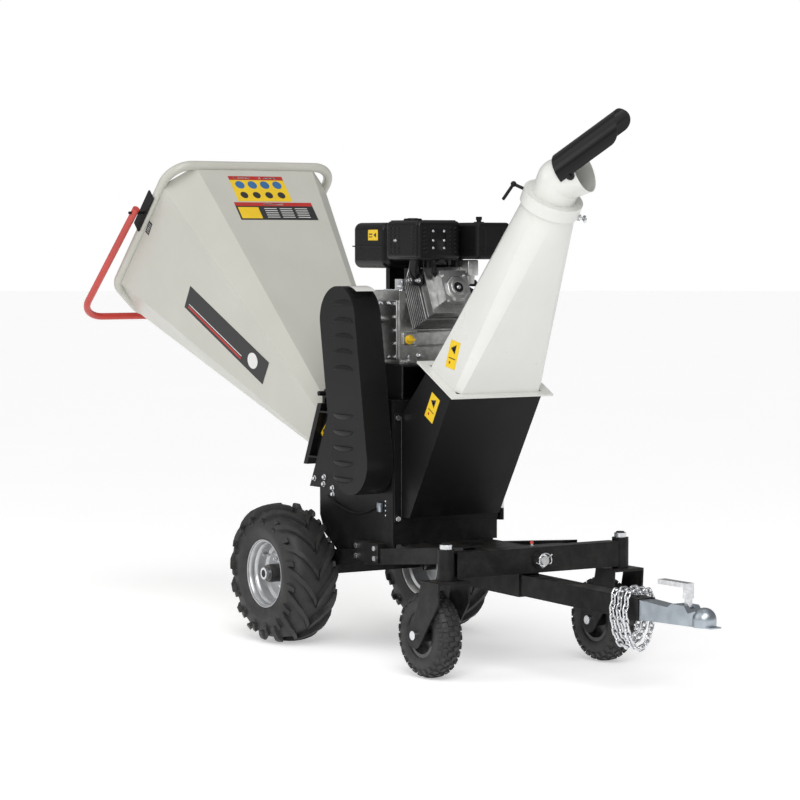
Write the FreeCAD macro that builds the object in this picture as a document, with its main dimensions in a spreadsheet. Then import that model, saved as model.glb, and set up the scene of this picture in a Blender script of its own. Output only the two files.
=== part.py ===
import FreeCAD, Part
import math
import os
import Sketcher
from FreeCAD import Placement, Rotation, Vector

# A towed wood chipper. +X points to the hitch, +Y to the machine's left, +Z up, and z = 0 is the
# ground. Sizes are millimetres and degrees. A name ending in _fwd is measured forward of the rear
# axle, and one ending in _up is measured above the axle line.

SIZES = {
    # stance and fits
    "axle_x": -262,
    "wheelbase": 995,
    "running_gap": 0.05,
    "seat_gap": 0.3,
    # rear wheels
    "tyre_radius": 229,
    "tyre_half_width": 86,
    "tyre_wall": 9,
    "track_half": 304,
    "rim_lip_radius": 112,
    "rim_half_width": 75,
    "bead_radius": 102,
    "rim_wall": 4,
    "disc_inset": 20,
    "hub_radius": 30,
    "hub_half_length": 62,
    "stub_radius": 12.5,
    "stub_nut_radius": 20,
    "stub_nut_width": 14,
    # chassis
    "axle_tube_half": 15,
    "axle_tube_depth": 40,
    "rail_mid_width": 190,
    "rail_size": 50,
    "rail_rise": 5.7,
    "rail_top_up": 68,
    "rail_behind": 60,
    "rail_length": 985,
    "saddle_half": 45,
    "saddle_thickness": 6,
    "saddle_drop": 22,
    "saddle_rise": 58,
    "deck_back_fwd": 500,
    "deck_front_fwd": 800,
    "deck_up": 123,
    "deck_thickness": 6,
    "cross_back_fwd": 905,
    "cross_depth": 45,
    "cross_bottom_up": 85,
    "cross_top_up": 152,
    "bracket_back_fwd": 309,
    "bracket_front_fwd": 448,
    "bracket_bottom_up": 66,
    "bracket_top_up": 128,
    "bolt_radius": 5,
    "bolt_head_radius": 9,
    "bolt_head_height": 7,
    "bolt_inset": 15,
    # drawbar and coupler
    "drawbar_half": 32,
    "drawbar_wall": 4,
    "drawbar_droop": 1.15,
    "drawbar_top_up": 70,
    "drawbar_front_fwd": 1548,
    "socket_back_fwd": 560,
    "socket_front_fwd": 964,
    "socket_wall": 5,
    "hanger_inset": 60,
    "hanger_width": 40,
    "coupler_half_width": 28,
    "coupler_back_height": 58,
    "coupler_nose_fwd": 1862,
    "ball_fwd": 1812,
    "ball_up": 22,
    "ball_radius": 25.3,
    "coupler_dome_radius": 34,
    "coupler_skirt": 17,
    "coupler_brow": 27,
    "coupler_web": 12,
    "coupler_ridge": 10,
    "coupler_wall": 5,
    "coupler_tongue": 40,
    "handle_slot_half": 20,
    "handle_pin_fwd": 1740,
    "handle_pin_up": 50,
    "handle_pin_radius": 4,
    "handle_foot": 14,
    "handle_neck": 28,
    "handle_rise": 72,
    "handle_reach": 123,
    "handle_half_width": 14,
    "handle_stem_half": 8,
    "handle_thickness": 7,
    "chain_wire": 3,
    "chain_inner_length": 21,
    "chain_inner_width": 9,
    "chain_drop": 122,
    "chain_drop_step": 14,
    "chain_slack": 0.4,
    "chain_loops": 3,
    "chain_back_fwd": 1452,
    "chain_loop_pitch": 31,
    # front beam and casters
    "beam_depth": 50,
    "beam_bottom_up": 80,
    "beam_top_up": 158,
    "beam_wall": 4,
    "pivot_up": 119,
    "pivot_radius": 14,
    "pivot_boss_radius": 27,
    "pivot_boss_overhang": 6,
    "pivot_thread_end": 8,
    "pivot_nut_radius": 21,
    "pivot_nut_width": 16,
    "caster_half_track": 326,
    "sleeve_radius": 26,
    "sleeve_bottom_up": 73,
    "sleeve_top_up": 168,
    "kingpin_radius": 13,
    "kingpin_nut_radius": 19,
    "kingpin_nut_height": 14,
    "kingpin_thread_end": 4,
    "caster_trail": 86,
    "caster_radius": 132.5,
    "caster_half_width": 42,
    "caster_bead_radius": 62,
    "caster_lip_radius": 70,
    "caster_rim_half_width": 33,
    "caster_hub_radius": 22,
    "fork_inner_half": 52,
    "fork_plate": 6,
    "fork_crown": 8,
    "fork_front": 45,
    "fork_back": 50,
    "fork_end_radius": 40,
    "fork_front_drop": 60,
    "fork_back_drop": 70,
    "fork_rake": 16,
    "fork_toe": 4,
    "fork_hub_gap": 2,
    "caster_bolt_radius": 8,
    "caster_bolt_head_radius": 14,
    # chipping housing
    "side_plate_half": 190,
    "side_plate_thickness": 8,
    "front_plate_fwd": 505,
    "front_plate_thickness": 8,
    "front_plate_half": 200,
    "front_plate_bottom_up": 129,
    "housing_top_up": 586,
    "drum_fwd": 405,
    "drum_up": 390,
    "drum_radius": 112,
    "drum_half_length": 150,
    "knife_tip_radius": 128,
    "knife_thickness": 10,
    "knife_end_gap": 4,
    "drum_pocket_depth": 34,
    "drum_pocket_width": 30,
    "drum_pocket_over": 20,
    "bed_knife_gap": 2,
    "bed_knife_width": 62,
    "bed_knife_thickness": 12,
    "drum_shaft_radius": 20,
    "casing_radius": 137,
    "casing_wall": 5,
    "duct_opening_bottom_up": 232,
    "duct_opening_top_up": 530,
    "throat_half_width": 150,
    "throat_bottom_fwd": -41,
    "throat_bottom_up": 378,
    "throat_top_fwd": 24,
    "throat_top_up": 524,
    "throat_wall": 6,
    "throat_depth": 24,
    "throat_border": 30,
    "hopper_flange_depth": 5,
    "hopper_flange_border": 24,
    "housing_back_fwd": 44,
    "housing_curve_fwd": 150,
    "housing_heel_up": 190,
    "housing_roof_back": 100,
    "housing_shoulder_back": 80,
    "housing_shoulder_rise": 14,
    "housing_cheek_in": 20,
    "housing_cheek_drop": 100,
    "housing_heel_cut": 30,
    "housing_heel_drop": 60,
    "shaft_hole_gap": 6,
    "bearing_radius": 45,
    "bearing_thickness": 22,
    "stand_back_fwd": 235,
    "stand_half_width": 160,
    "stand_plate": 6,
    "engine_base_up": 696,
    # belt drive
    "crank_fwd": 332,
    "crank_up": 839,
    "crank_radius": 14,
    "clutch_radius": 60,
    "drum_pulley_radius": 84,
    "pulley_half_width": 24,
    "pulley_shaft_gap": 12,
    "shaft_end": 8,
    "groove_root_inset": 3,
    "belt_side_gap": 4,
    "belt_rise": 1,
    "belt_depth": 9,
    "belt_width": 13,
    "belt_pitch": 16,
    "belt_mid_width": 248,
    "guard_radius": 106,
    "guard_wall": 3,
    "guard_outer_half": 300,
    "guard_inner_half": 205,
    "guard_crank_gap": 12,
    "guard_spacer_radius": 14,
    "guard_spacer_low": 110,
    "guard_spacer_high": 30,
    # discharge duct, door and tower
    "duct_half_width": 172,
    "duct_wall": 3,
    "duct_bottom_up": 217,
    "duct_foot": 52,
    "duct_lean": 30.7,
    "door_bottom_up": 200,
    "door_top_up": 545,
    "door_plate": 6,
    "door_half_width": 198,
    "door_hinge_half": 216,
    "door_knuckle_radius": 9,
    "door_pin_radius": 5,
    "door_knuckle_height": 38,
    "door_leaf": 44,
    "door_leaf_thickness": 5,
    "door_leaf_gap": 2,
    "door_bridge": 12,
    "door_bolt_low": 12,
    "door_bolt_high": 14,
    "door_bolt_edge": 11,
    "door_sill": 22,
    "lower_hinge_up": 188,
    "upper_hinge_up": 470,
    "tower_base_fwd": 728,
    "tower_base_up": 662,
    "tower_base_tilt": 28.4,
    "tower_flange_length": 222,
    "tower_flange_half": 191,
    "tower_flange_thickness": 6,
    "tower_foot_back": 88,
    "tower_foot_front": 92,
    "tower_foot_half": 163,
    "duct_mouth_back": 70,
    "duct_mouth_front": 80,
    "tower_top_fwd": 1060,
    "tower_top_up": 1182,
    "tower_lean": 32.5,
    "tower_wall": 2.5,
    "tower_foot_facet": 18,
    "neck_radius": 84,
    "neck_rise": 44,
    "collar_radius": 93,
    "collar_height": 42,
    "collar_base": 8,
    "collar_gap": 0.3,
    "spout_shoulder": 5,
    "spout_radius": 68,
    "spout_wall": 3,
    "spout_turn": 40,
    "spout_bend": 43.4,
    "bend_rise": 102,
    "spout_length": 86,
    "flap_radius": 69.2,
    "flap_length": 250,
    "flap_tail": 36,
    "flap_tilt": 13,
    "flap_corner": 50,
    "flap_pivot_reach": 70,
    "flap_pivot_rise": 15.4,
    "flap_pin_radius": 5,
    "flap_pin_overhang": 8,
    "flap_boss_radius": 14,
    "lever_radius": 5,
    "lever_length": 62,
    "lever_stud": 34,
    "lever_lean": 167,
    # feed hopper
    "mouth_top_fwd": -704,
    "mouth_top_up": 1364,
    "mouth_slant": 45,
    "mouth_length": 765,
    "hopper_half_width": 333,
    "hopper_top_facet": 98,
    "hopper_top_drop": 18,
    "hopper_side_end": 590,
    "hopper_foot_half": 205,
    "hopper_foot_drop": 748,
    "hopper_wall": 2.5,
    "throat_facet": 26,
    "hoop_radius": 16.5,
    "hoop_half_width": 333,
    "hoop_corner": 85,
    "hoop_side_end": 610,
    "hoop_foot_half": 190,
    "hopper_pin_radius": 8,
    "hopper_pin_overhang": 28,
    "hopper_pivot_back": 8,
    "hopper_pivot_rise": 62,
    "hopper_eye_radius": 15,
    "hopper_eye_width": 16,
    "hopper_eye_half": 142,
    "hopper_lug_half": 110,
    "hopper_strap_depth": 20,
    "hopper_strap_drop": 40,
    "bar_radius": 12.5,
    "bar_half_width": 388,
    "bar_pivot_fwd": -890,
    "bar_pivot_up": 1188,
    "bar_foot_fwd": -1320,
    "bar_foot_up": 813,
    "bar_bend": 90,
    "bar_end": 22,
    "bar_bolt_radius": 5,
    "bar_bolt_overhang": 8,
    "bar_bracket_back": 70,
    "bar_bracket_front": 90,
    "bar_bracket_half": 22,
    "bar_bracket_thickness": 6,
    # engine
    "crankcase_back_fwd": 232,
    "crankcase_front_fwd": 432,
    "crankcase_right": 128,
    "crankcase_left": 96,
    "crankcase_top_up": 930,
    "cylinder_slope": 23,
    "cylinder_start": 95,
    "cylinder_end": 205,
    "cylinder_half": 62,
    "fin_half": 84,
    "fin_thickness": 3,
    "fin_pitch": 10,
    "fin_count": 9,
    "fin_start": 22,
    "barrel_step": 16,
    "head_end": 240,
    "head_inset": 6,
    "inlet_shift": 62,
    "inlet_radius": 19,
    "outlet_shift": 48,
    "outlet_radius": 18,
    "rocker_end": 282,
    "rocker_half": 50,
    "engine_mid_width": -20,
    "tank_back_fwd": 181,
    "tank_front_fwd": 384,
    "tank_half_width": 150,
    "tank_bottom_up": 1001,
    "tank_top_up": 1147,
    "tank_seam_up": 1069,
    "tank_round": 24,
    "tank_lip": 7,
    "tank_lip_height": 4,
    "tank_lip_round": 28,
    "stay_back": 64,
    "stay_front": 30,
    "stay_depth": 22,
    "stay_half": 60,
    "fuel_cap_radius": 30,
    "fuel_cap_height": 16,
    "fuel_cap_forward": 70,
    "fuel_cap_left": 40,
    "oil_cap_radius": 15,
    "oil_cap_right": 96,
    "oil_cap_rise": 78,
    "muffler_back_fwd": 392,
    "muffler_front_fwd": 580,
    "muffler_right": 155,
    "muffler_left": -8,
    "muffler_bottom_up": 1028,
    "muffler_top_up": 1151,
    "muffler_round": 14,
    "cleaner_back_fwd": 480,
    "cleaner_front_fwd": 650,
    "cleaner_right": -22,
    "cleaner_left": 150,
    "cleaner_bottom_up": 1030,
    "cleaner_top_up": 1146,
    "cleaner_round": 12,
    "starter_radius": 102,
    "starter_depth": 52,
    "starter_eye_gap": 6,
    "rope_depth": 0.57,
    "blower_radius": 128,
    "blower_depth": 46,
    "rope_radius": 3,
    "grip_bar_radius": 11,
    "grip_bar_length": 84,
    "grip_offset_fwd": 46,
}

doc = FreeCAD.newDocument("wood_chipper")
sheet = doc.addObject("Spreadsheet::Sheet", "dims")
parts = []


class Size:
    """A length or angle that knows the sheet expression it comes from and its value."""

    def __init__(self, text, value):
        self.text = text
        self.value = value

    def __add__(self, other):
        return joined(self, "+", other)

    def __radd__(self, other):
        return joined(other, "+", self)

    def __sub__(self, other):
        return joined(self, "-", other)

    def __rsub__(self, other):
        return joined(other, "-", self)

    def __mul__(self, other):
        return joined(self, "*", other)

    def __rmul__(self, other):
        return joined(other, "*", self)

    def __truediv__(self, other):
        return joined(self, "/", other)

    def __rtruediv__(self, other):
        return joined(other, "/", self)

    def __neg__(self):
        return joined(0, "-", self)

    def __float__(self):
        return float(self.value)


def sized(number):
    if isinstance(number, Size):
        return number
    return Size(f"({float(number):.6f})", float(number))


def joined(left, sign, right):
    left, right = sized(left), sized(right)
    worth = {
        "+": lambda: left.value + right.value,
        "-": lambda: left.value - right.value,
        "*": lambda: left.value * right.value,
        "/": lambda: left.value / right.value,
    }[sign]()
    return Size(f"({left.text} {sign} {right.text})", worth)


def sine(angle):
    angle = sized(angle)
    return Size(f"sin({angle.text})", math.sin(math.radians(angle.value)))


def cosine(angle):
    angle = sized(angle)
    return Size(f"cos({angle.text})", math.cos(math.radians(angle.value)))


def tangent(angle):
    angle = sized(angle)
    return Size(f"tan({angle.text})", math.tan(math.radians(angle.value)))


class Sheet:
    """The driving sizes, read from the spreadsheet by name."""

    def __getattr__(self, name):
        return Size("dims." + name, float(sheet.get(name)))


def fill_sheet():
    for row, (name, value) in enumerate(SIZES.items(), start=1):
        sheet.set(f"A{row}", name)
        sheet.set(f"B{row}", str(value))
        sheet.setAlias(f"B{row}", name)
    doc.recompute()


fill_sheet()
d = Sheet()
ground_to_axle = d.tyre_radius


def fwd(distance):
    """A place along the machine, given forward of the rear axle."""
    return d.axle_x + distance


def up(height):
    """A height, given above the axle line."""
    return ground_to_axle + height


def bind(thing, **sizes):
    for field, size in sizes.items():
        thing.setExpression(field, sized(size).text)


def vector(point):
    return Vector(*[float(sized(number)) for number in point])


def place(thing, at=(0, 0, 0), axis=(0, 0, 1), turn=0):
    """Put a thing at a point, turned about an axis, with both kept tied to the sheet."""
    thing.Placement = Placement(vector(at), Rotation(Vector(*axis), float(sized(turn))))
    for letter, size in zip("xyz", at):
        if isinstance(size, Size):
            thing.setExpression("Placement.Base." + letter, size.text)
    if isinstance(turn, Size):
        thing.setExpression("Placement.Rotation.Angle", turn.text)
    return thing


def box(low, high):
    thing = doc.addObject("Part::Box", "block")
    bind(thing, Length=high[0] - low[0], Width=high[1] - low[1], Height=high[2] - low[2])
    return place(thing, low)


POINTING = {"x": ((0, 1, 0), 90), "y": ((1, 0, 0), -90), "z": ((0, 0, 1), 0)}


def rod(way, start, radius, length):
    """A cylinder along x, y or z from the middle of its first end."""
    thing = doc.addObject("Part::Cylinder", "rod")
    bind(thing, Radius=radius, Height=length)
    axis, turn = POINTING[way]
    return place(thing, start, axis, turn)


def ball(middle, radius):
    thing = doc.addObject("Part::Sphere", "ball")
    bind(thing, Radius=radius)
    return place(thing, middle)


def fuse(*shapes):
    thing = doc.addObject("Part::MultiFuse", "joined")
    thing.Shapes = list(shapes)
    return thing


def cut(base, *tools):
    thing = doc.addObject("Part::Cut", "cut")
    thing.Base = base
    thing.Tool = tools[0] if len(tools) == 1 else fuse(*tools)
    return thing


def group(shapes):
    thing = doc.addObject("Part::Compound", "group")
    thing.Links = list(shapes)
    return thing


def tube(way, start, outer, inner, length):
    return cut(rod(way, start, outer, length), rod(way, start, inner, length))


def solid_from(shape):
    """A piece whose shape comes from Part's own functions."""
    thing = doc.addObject("Part::Feature", "formed")
    thing.Shape = shape
    return thing


def outline(body, plane, points):
    """A closed sketch of straight sides on one of a body's own planes, every corner dimensioned."""
    sketch = body.newObject("Sketcher::SketchObject", "outline")
    role = [face for face in body.Origin.OriginFeatures if face.Role == plane][0]
    sketch.AttachmentSupport = (role, [""])
    sketch.MapMode = "FlatFace"
    points = [(sized(a), sized(b)) for a, b in points]
    count = len(points)
    corners = [Vector(a.value, b.value, 0) for a, b in points]
    for index in range(count):
        sketch.addGeometry(Part.LineSegment(corners[index], corners[(index + 1) % count]), False)
    for index in range(count):
        sketch.addConstraint(Sketcher.Constraint("Coincident", index, 2, (index + 1) % count, 1))
    for index, point in enumerate(points):
        for kind, size in zip(("DistanceX", "DistanceY"), point):
            number = sketch.addConstraint(Sketcher.Constraint(kind, -1, 1, index, 1, size.value))
            sketch.setExpression(f"Constraints[{number}]", size.text)
    return sketch


def side_profile(points, start, width):
    """A slab whose outline is in x and z, from y = start over a width towards +y."""
    body = doc.addObject("PartDesign::Body", "slab")
    sketch = outline(body, "XZ_Plane", points)
    pad = body.newObject("PartDesign::Pad", "pad")
    pad.Profile = sketch
    pad.Reversed = True
    bind(pad, Length=width)
    return place(body, (0, start, 0))


TURNING = {
    "x": ("XY_Plane", "H_Axis", lambda along, out: (along, out)),
    "y": ("XY_Plane", "V_Axis", lambda along, out: (out, along)),
    "z": ("XZ_Plane", "V_Axis", lambda along, out: (out, along)),
}


def turned(way, profile, at=(0, 0, 0)):
    """A piece turned about x, y or z from a profile of (distance along, radius) corners."""
    plane, axis, order = TURNING[way]
    body = doc.addObject("PartDesign::Body", "turned")
    sketch = outline(body, plane, [order(along, out) for along, out in profile])
    revolution = body.newObject("PartDesign::Revolution", "revolution")
    revolution.Profile = sketch
    revolution.ReferenceAxis = (sketch, [axis])
    revolution.Angle = 360
    return place(body, at)


def part(name, thing):
    """Name a finished sub-part and keep it for writing out."""
    thing.Label = name
    parts.append(thing)
    return thing


SIDES = (("right", -1), ("left", 1))


def bolt_heads(way, points):
    """Hexagon heads standing on a face, one solid each, pointing along x or y."""
    heads = []
    for start, sign in points:
        head = doc.addObject("Part::Prism", "head")
        head.Polygon = 6
        bind(head, Circumradius=d.bolt_head_radius, Height=d.bolt_head_height)
        axis = {"x": (0, 1, 0), "y": (1, 0, 0), "z": (0, 1, 0)}[way]
        turn = {"x": 90 * sign, "y": -90 * sign, "z": 0 if sign > 0 else 180}[way]
        heads.append(place(head, start, axis, turn))
    return heads


# ---- rear wheels -----------------------------------------------------------------------------

def tyre_profile(radius, half_width, bead, lip, seat):
    """The section of a tyre with its air space, as (across, radius) corners."""
    wall = d.tyre_wall
    foot = bead + d.seat_gap
    shoulder = radius - (radius - bead) * 0.12
    belly = bead + (radius - bead) * 0.5
    outer = [
        (-seat, foot), (-seat, lip + d.seat_gap), (-half_width, belly),
        (half_width * -0.97, shoulder), (half_width * -0.72, radius), (half_width * 0.72, radius),
        (half_width * 0.97, shoulder), (half_width * 1.0, belly), (seat, lip + d.seat_gap),
        (seat, foot),
    ]
    inner = [
        (seat - wall, foot), (half_width - wall, belly),
        (half_width * 0.90 - wall, shoulder - wall), (half_width * 0.66, radius - wall),
        (half_width * -0.66, radius - wall), (wall - half_width * 0.90, shoulder - wall),
        (wall - half_width, belly), (wall - seat, foot),
    ]
    return outer + inner


def rear_wheel(side, sign):
    middle = (fwd(0), sign * d.track_half, up(0))
    seat = d.rim_half_width - d.rim_wall
    profile = tyre_profile(d.tyre_radius, d.tyre_half_width, d.bead_radius, d.rim_lip_radius, seat)
    part("tyre_" + side, turned("y", profile, middle))
    barrel_inner = d.bead_radius - d.rim_wall
    bore = d.stub_radius + d.running_gap
    disc = sign * d.disc_inset * -1
    rim = [
        (-d.rim_half_width, d.rim_lip_radius), (d.rim_wall - d.rim_half_width, d.rim_lip_radius),
        (d.rim_wall - d.rim_half_width, d.bead_radius), (d.rim_half_width - d.rim_wall, d.bead_radius),
        (d.rim_half_width - d.rim_wall, d.rim_lip_radius), (d.rim_half_width, d.rim_lip_radius),
        (d.rim_half_width, barrel_inner), (disc + d.rim_wall, barrel_inner),
        (disc + d.rim_wall, d.hub_radius), (d.hub_half_length, d.hub_radius), (d.hub_half_length, bore),
        (-d.hub_half_length, bore), (-d.hub_half_length, d.hub_radius), (disc - d.rim_wall, d.hub_radius),
        (disc - d.rim_wall, barrel_inner), (-d.rim_half_width, barrel_inner),
    ]
    part("rim_" + side, turned("y", rim, middle))


# ---- chassis ---------------------------------------------------------------------------------

rail_outer = d.rail_mid_width + d.rail_size / 2
rail_inner = d.rail_mid_width - d.rail_size / 2


def rail_top(distance):
    """Height of the rails' sloping top face at a distance forward of the axle."""
    return up(d.rail_top_up) + tangent(d.rail_rise) * distance


def side_rails():
    rails = []
    for _, sign in SIDES:
        half = d.rail_size / 2
        inner = half - d.beam_wall
        outside = box((-d.rail_behind, -half, -d.rail_size), (d.rail_length - d.rail_behind, half, 0))
        inside = box((-d.rail_behind, -inner, d.beam_wall - d.rail_size),
                     (d.rail_length - d.rail_behind, inner, -d.beam_wall))
        rail = cut(outside, inside)
        at = (fwd(0), sign * d.rail_mid_width, up(d.rail_top_up))
        rails.append(place(rail, at, (0, -1, 0), d.rail_rise))
    part("side_rails", group(rails))


def rear_axle():
    half = d.axle_tube_half
    beam = box((fwd(-d.axle_tube_depth / 2), -rail_outer, up(-half)),
               (fwd(d.axle_tube_depth / 2), rail_outer, up(half)))
    stub_end = d.track_half + d.hub_half_length + d.seat_gap + d.stub_nut_width
    stub = rod("y", (fwd(0), -stub_end, up(0)), d.stub_radius, stub_end * 2)
    part("rear_axle", fuse(beam, stub))


def axle_nuts():
    nuts = []
    for _, sign in SIDES:
        inner_end = d.track_half + d.hub_half_length + d.seat_gap
        start = sign * inner_end if sign > 0 else -inner_end - d.stub_nut_width
        nuts.append(tube("y", (fwd(0), start, up(0)), d.stub_nut_radius, d.stub_radius, d.stub_nut_width))
    return nuts


def axle_saddles():
    plates = []
    for _, sign in SIDES:
        near = rail_outer if sign > 0 else -rail_outer - d.saddle_thickness
        plate = box((fwd(-d.saddle_half), near, up(-d.saddle_drop)),
                    (fwd(d.saddle_half), near + d.saddle_thickness, up(d.saddle_rise)))
        hole = rod("y", (fwd(0), near, up(0)), d.stub_radius, d.saddle_thickness)
        plates.append(cut(plate, hole))
    return plates


def deck():
    half = rail_inner - d.seat_gap
    plate = box((fwd(d.deck_back_fwd), -half, up(d.deck_up)),
                (fwd(d.deck_front_fwd), half, up(d.deck_up + d.deck_thickness)))
    part("deck_plate", plate)


def crossmember():
    """The tube between the rails' front ends that holds the front beam's pivot pin."""
    body = box((fwd(d.cross_back_fwd), -rail_inner, up(d.cross_bottom_up)),
               (fwd(d.cross_back_fwd + d.cross_depth), rail_inner, up(d.cross_top_up)))
    hole = rod("x", (fwd(d.cross_back_fwd), 0, up(d.pivot_up)), d.pivot_radius, d.cross_depth)
    part("crossmember", cut(body, hole))


def frame_brackets():
    brackets = axle_saddles() + drawbar_hangers()
    for _, sign in SIDES:
        back, front = fwd(d.bracket_back_fwd), fwd(d.bracket_front_fwd)
        near = rail_outer if sign > 0 else -rail_outer - d.saddle_thickness
        plate = box((back, near, up(d.bracket_bottom_up)),
                    (front, near + d.saddle_thickness, up(d.bracket_top_up)))
        gap_low = d.side_plate_half if sign > 0 else -rail_outer
        spacer = side_profile([
            (back, rail_top(d.bracket_back_fwd)), (front, rail_top(d.bracket_front_fwd)),
            (front, up(d.bracket_top_up)), (back, up(d.bracket_top_up)),
        ], gap_low, rail_outer - d.side_plate_half)
        brackets.append(fuse(plate, spacer))
    part("frame_brackets", group(brackets))


def frame_bolts():
    """Hexagon heads on the rails' brackets and on the axle saddles."""
    inset = d.bolt_inset
    heads = []
    face = rail_outer + d.saddle_thickness
    for _, sign in SIDES:
        for distance in (d.bracket_back_fwd + inset, d.bracket_front_fwd - inset):
            for height in (d.bracket_bottom_up + inset, d.bracket_top_up - inset):
                heads.append(((fwd(distance), sign * face, up(height)), sign))
        for distance in (inset - d.saddle_half, d.saddle_half - inset):
            heads.append(((fwd(distance), sign * face, up(d.saddle_rise - inset)), sign))
    part("frame_bolts", group(bolt_heads("y", heads) + axle_nuts() + [beam_pivot_nut()]))


# ---- drawbar, coupler and chain --------------------------------------------------------------

def along_drawbar(distance):
    """Distance forward of the drawbar's own origin, under the front beam."""
    return distance - d.socket_front_fwd


def on_drawbar(thing):
    return place(thing, (fwd(d.socket_front_fwd), 0, up(d.drawbar_top_up)), (0, 1, 0), d.drawbar_droop)


def drawbar():
    half = d.drawbar_half
    bore = half - d.drawbar_wall
    back = along_drawbar(d.socket_back_fwd) + d.seat_gap
    front = along_drawbar(d.drawbar_front_fwd)
    bar = cut(box((back, -half, -half * 2), (front, half, 0)),
              box((back, -bore, -half - bore), (front, bore, bore - half)))
    part("drawbar", on_drawbar(bar))
    shell = half + d.socket_wall
    back = along_drawbar(d.socket_back_fwd)
    outside = box((back, -shell, -half - shell), (0, shell, shell - half))
    inside = box((back, -half, -half * 2), (0, half, 0))
    part("drawbar_socket", on_drawbar(cut(outside, inside)))


def drawbar_hangers():
    """Cross plates that carry the drawbar socket under the rails."""
    plates = []
    for distance in (d.socket_back_fwd + d.hanger_inset, d.cross_back_fwd - d.hanger_inset):
        droop = tangent(d.drawbar_droop) * (d.socket_front_fwd - distance)
        bottom = up(d.drawbar_top_up) + d.socket_wall + droop + d.seat_gap
        top = rail_top(distance) - d.rail_size / 2
        plates.append(box((fwd(distance), -rail_inner, bottom),
                          (fwd(distance + d.hanger_width), rail_inner, top)))
    return plates


def coupler():
    half = d.coupler_half_width
    start = fwd(d.drawbar_front_fwd) + d.seat_gap
    mid = up(d.drawbar_top_up) - d.drawbar_half
    mid = mid - sine(d.drawbar_droop) * (d.drawbar_front_fwd - d.socket_front_fwd)
    low = mid - d.coupler_back_height / 2
    high = mid + d.coupler_back_height / 2
    ball_x, ball_z = fwd(d.ball_fwd), up(d.ball_up)
    rim_z = ball_z - d.coupler_skirt
    wall_x = ball_x - d.coupler_web
    pin_x, pin_z = fwd(d.handle_pin_fwd), up(d.handle_pin_up)
    ridge = pin_z + d.coupler_ridge
    run = d.handle_slot_half
    shank = side_profile([
        (start, low), (wall_x, rim_z), (wall_x, ball_z + d.coupler_brow),
        (pin_x + run * 1.5, pin_z - d.coupler_ridge), (pin_x + run * 0.65, ridge),
        (pin_x - run * 2.15, ridge), (pin_x - run * 3.05, ridge - d.coupler_web), (start, high),
    ], -half, half * 2)
    tongue_half = (d.drawbar_half - d.drawbar_wall) * 0.88
    tongue = box((start - d.coupler_tongue, -tongue_half, low + d.coupler_wall),
                 (start, tongue_half, high - d.coupler_wall))
    dome = ball((ball_x, 0, ball_z + 4), d.coupler_dome_radius)
    skirt = rod("z", (ball_x, 0, rim_z), d.coupler_dome_radius, d.coupler_skirt + 4)
    lip = box((ball_x, -run, rim_z), (fwd(d.coupler_nose_fwd), run, rim_z + 4))
    head = fuse(dome, skirt, lip)
    reach = d.coupler_dome_radius * 2
    lower = box((ball_x - reach, -reach, rim_z - reach), (ball_x + reach, reach, rim_z))
    wall = d.coupler_wall
    depth = d.coupler_skirt + wall
    socket = fuse(ball((ball_x, 0, ball_z), d.ball_radius),
                  rod("z", (ball_x, 0, ball_z - depth), d.ball_radius, depth))
    channel = box((start + run, wall - half, low - wall), (wall_x - reach / 2, half - wall, low + wall * 2))
    slot_half = d.handle_stem_half + 1
    slot = box((pin_x - run, -slot_half, pin_z - d.coupler_skirt - 1),
               (pin_x + run, slot_half, ridge + d.coupler_ridge))
    pin = rod("y", (pin_x, -half, pin_z), d.handle_pin_radius, half * 2)
    part("coupler_body", fuse(cut(fuse(shank, tongue, cut(head, lower)), socket, channel, slot), pin))


def coupler_handle():
    half = d.handle_half_width
    stem_half = d.handle_stem_half
    thick = d.handle_thickness
    pin_x, pin_z = fwd(d.handle_pin_fwd), up(d.handle_pin_up)
    top = pin_z + d.handle_rise
    back, front = pin_x - stem_half, pin_x + stem_half
    stem = box((back, -stem_half, pin_z - d.handle_foot), (front, stem_half, pin_z + d.handle_neck))
    riser = box((back, -half, pin_z + d.handle_neck), (front, half, top))
    grip = box((pin_x - d.handle_reach, -half, top - thick * 2), (back, half, top))
    inner = box((pin_x - d.handle_reach + thick, thick - half, top - thick * 2),
                (back, half - thick, top - thick))
    bore = rod("y", (pin_x, -stem_half, pin_z), d.handle_pin_radius + d.running_gap, stem_half * 2)
    part("coupler_handle", cut(fuse(stem, riser, cut(grip, inner)), bore))


def chain_link():
    """One welded oval link at the origin, its long axis along x, lying flat in x and y."""
    wire = float(d.chain_wire)
    straight = float(d.chain_inner_length - d.chain_inner_width) / 2
    bend = float(d.chain_inner_width) / 2 + wire
    pieces = []
    for sign in (-1, 1):
        side = Vector(-straight, sign * bend, 0)
        pieces.append(Part.makeCylinder(wire, straight * 2, side, Vector(1, 0, 0)))
        start = Vector(sign * straight, -sign * bend, 0)
        ring = Part.Face(Part.Wire(Part.makeCircle(wire, start, Vector(1, 0, 0))))
        pieces.append(ring.revolve(Vector(sign * straight, 0, 0), Vector(0, 0, 1), 180))
    return pieces[0].multiFuse(pieces[1:])


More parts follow.
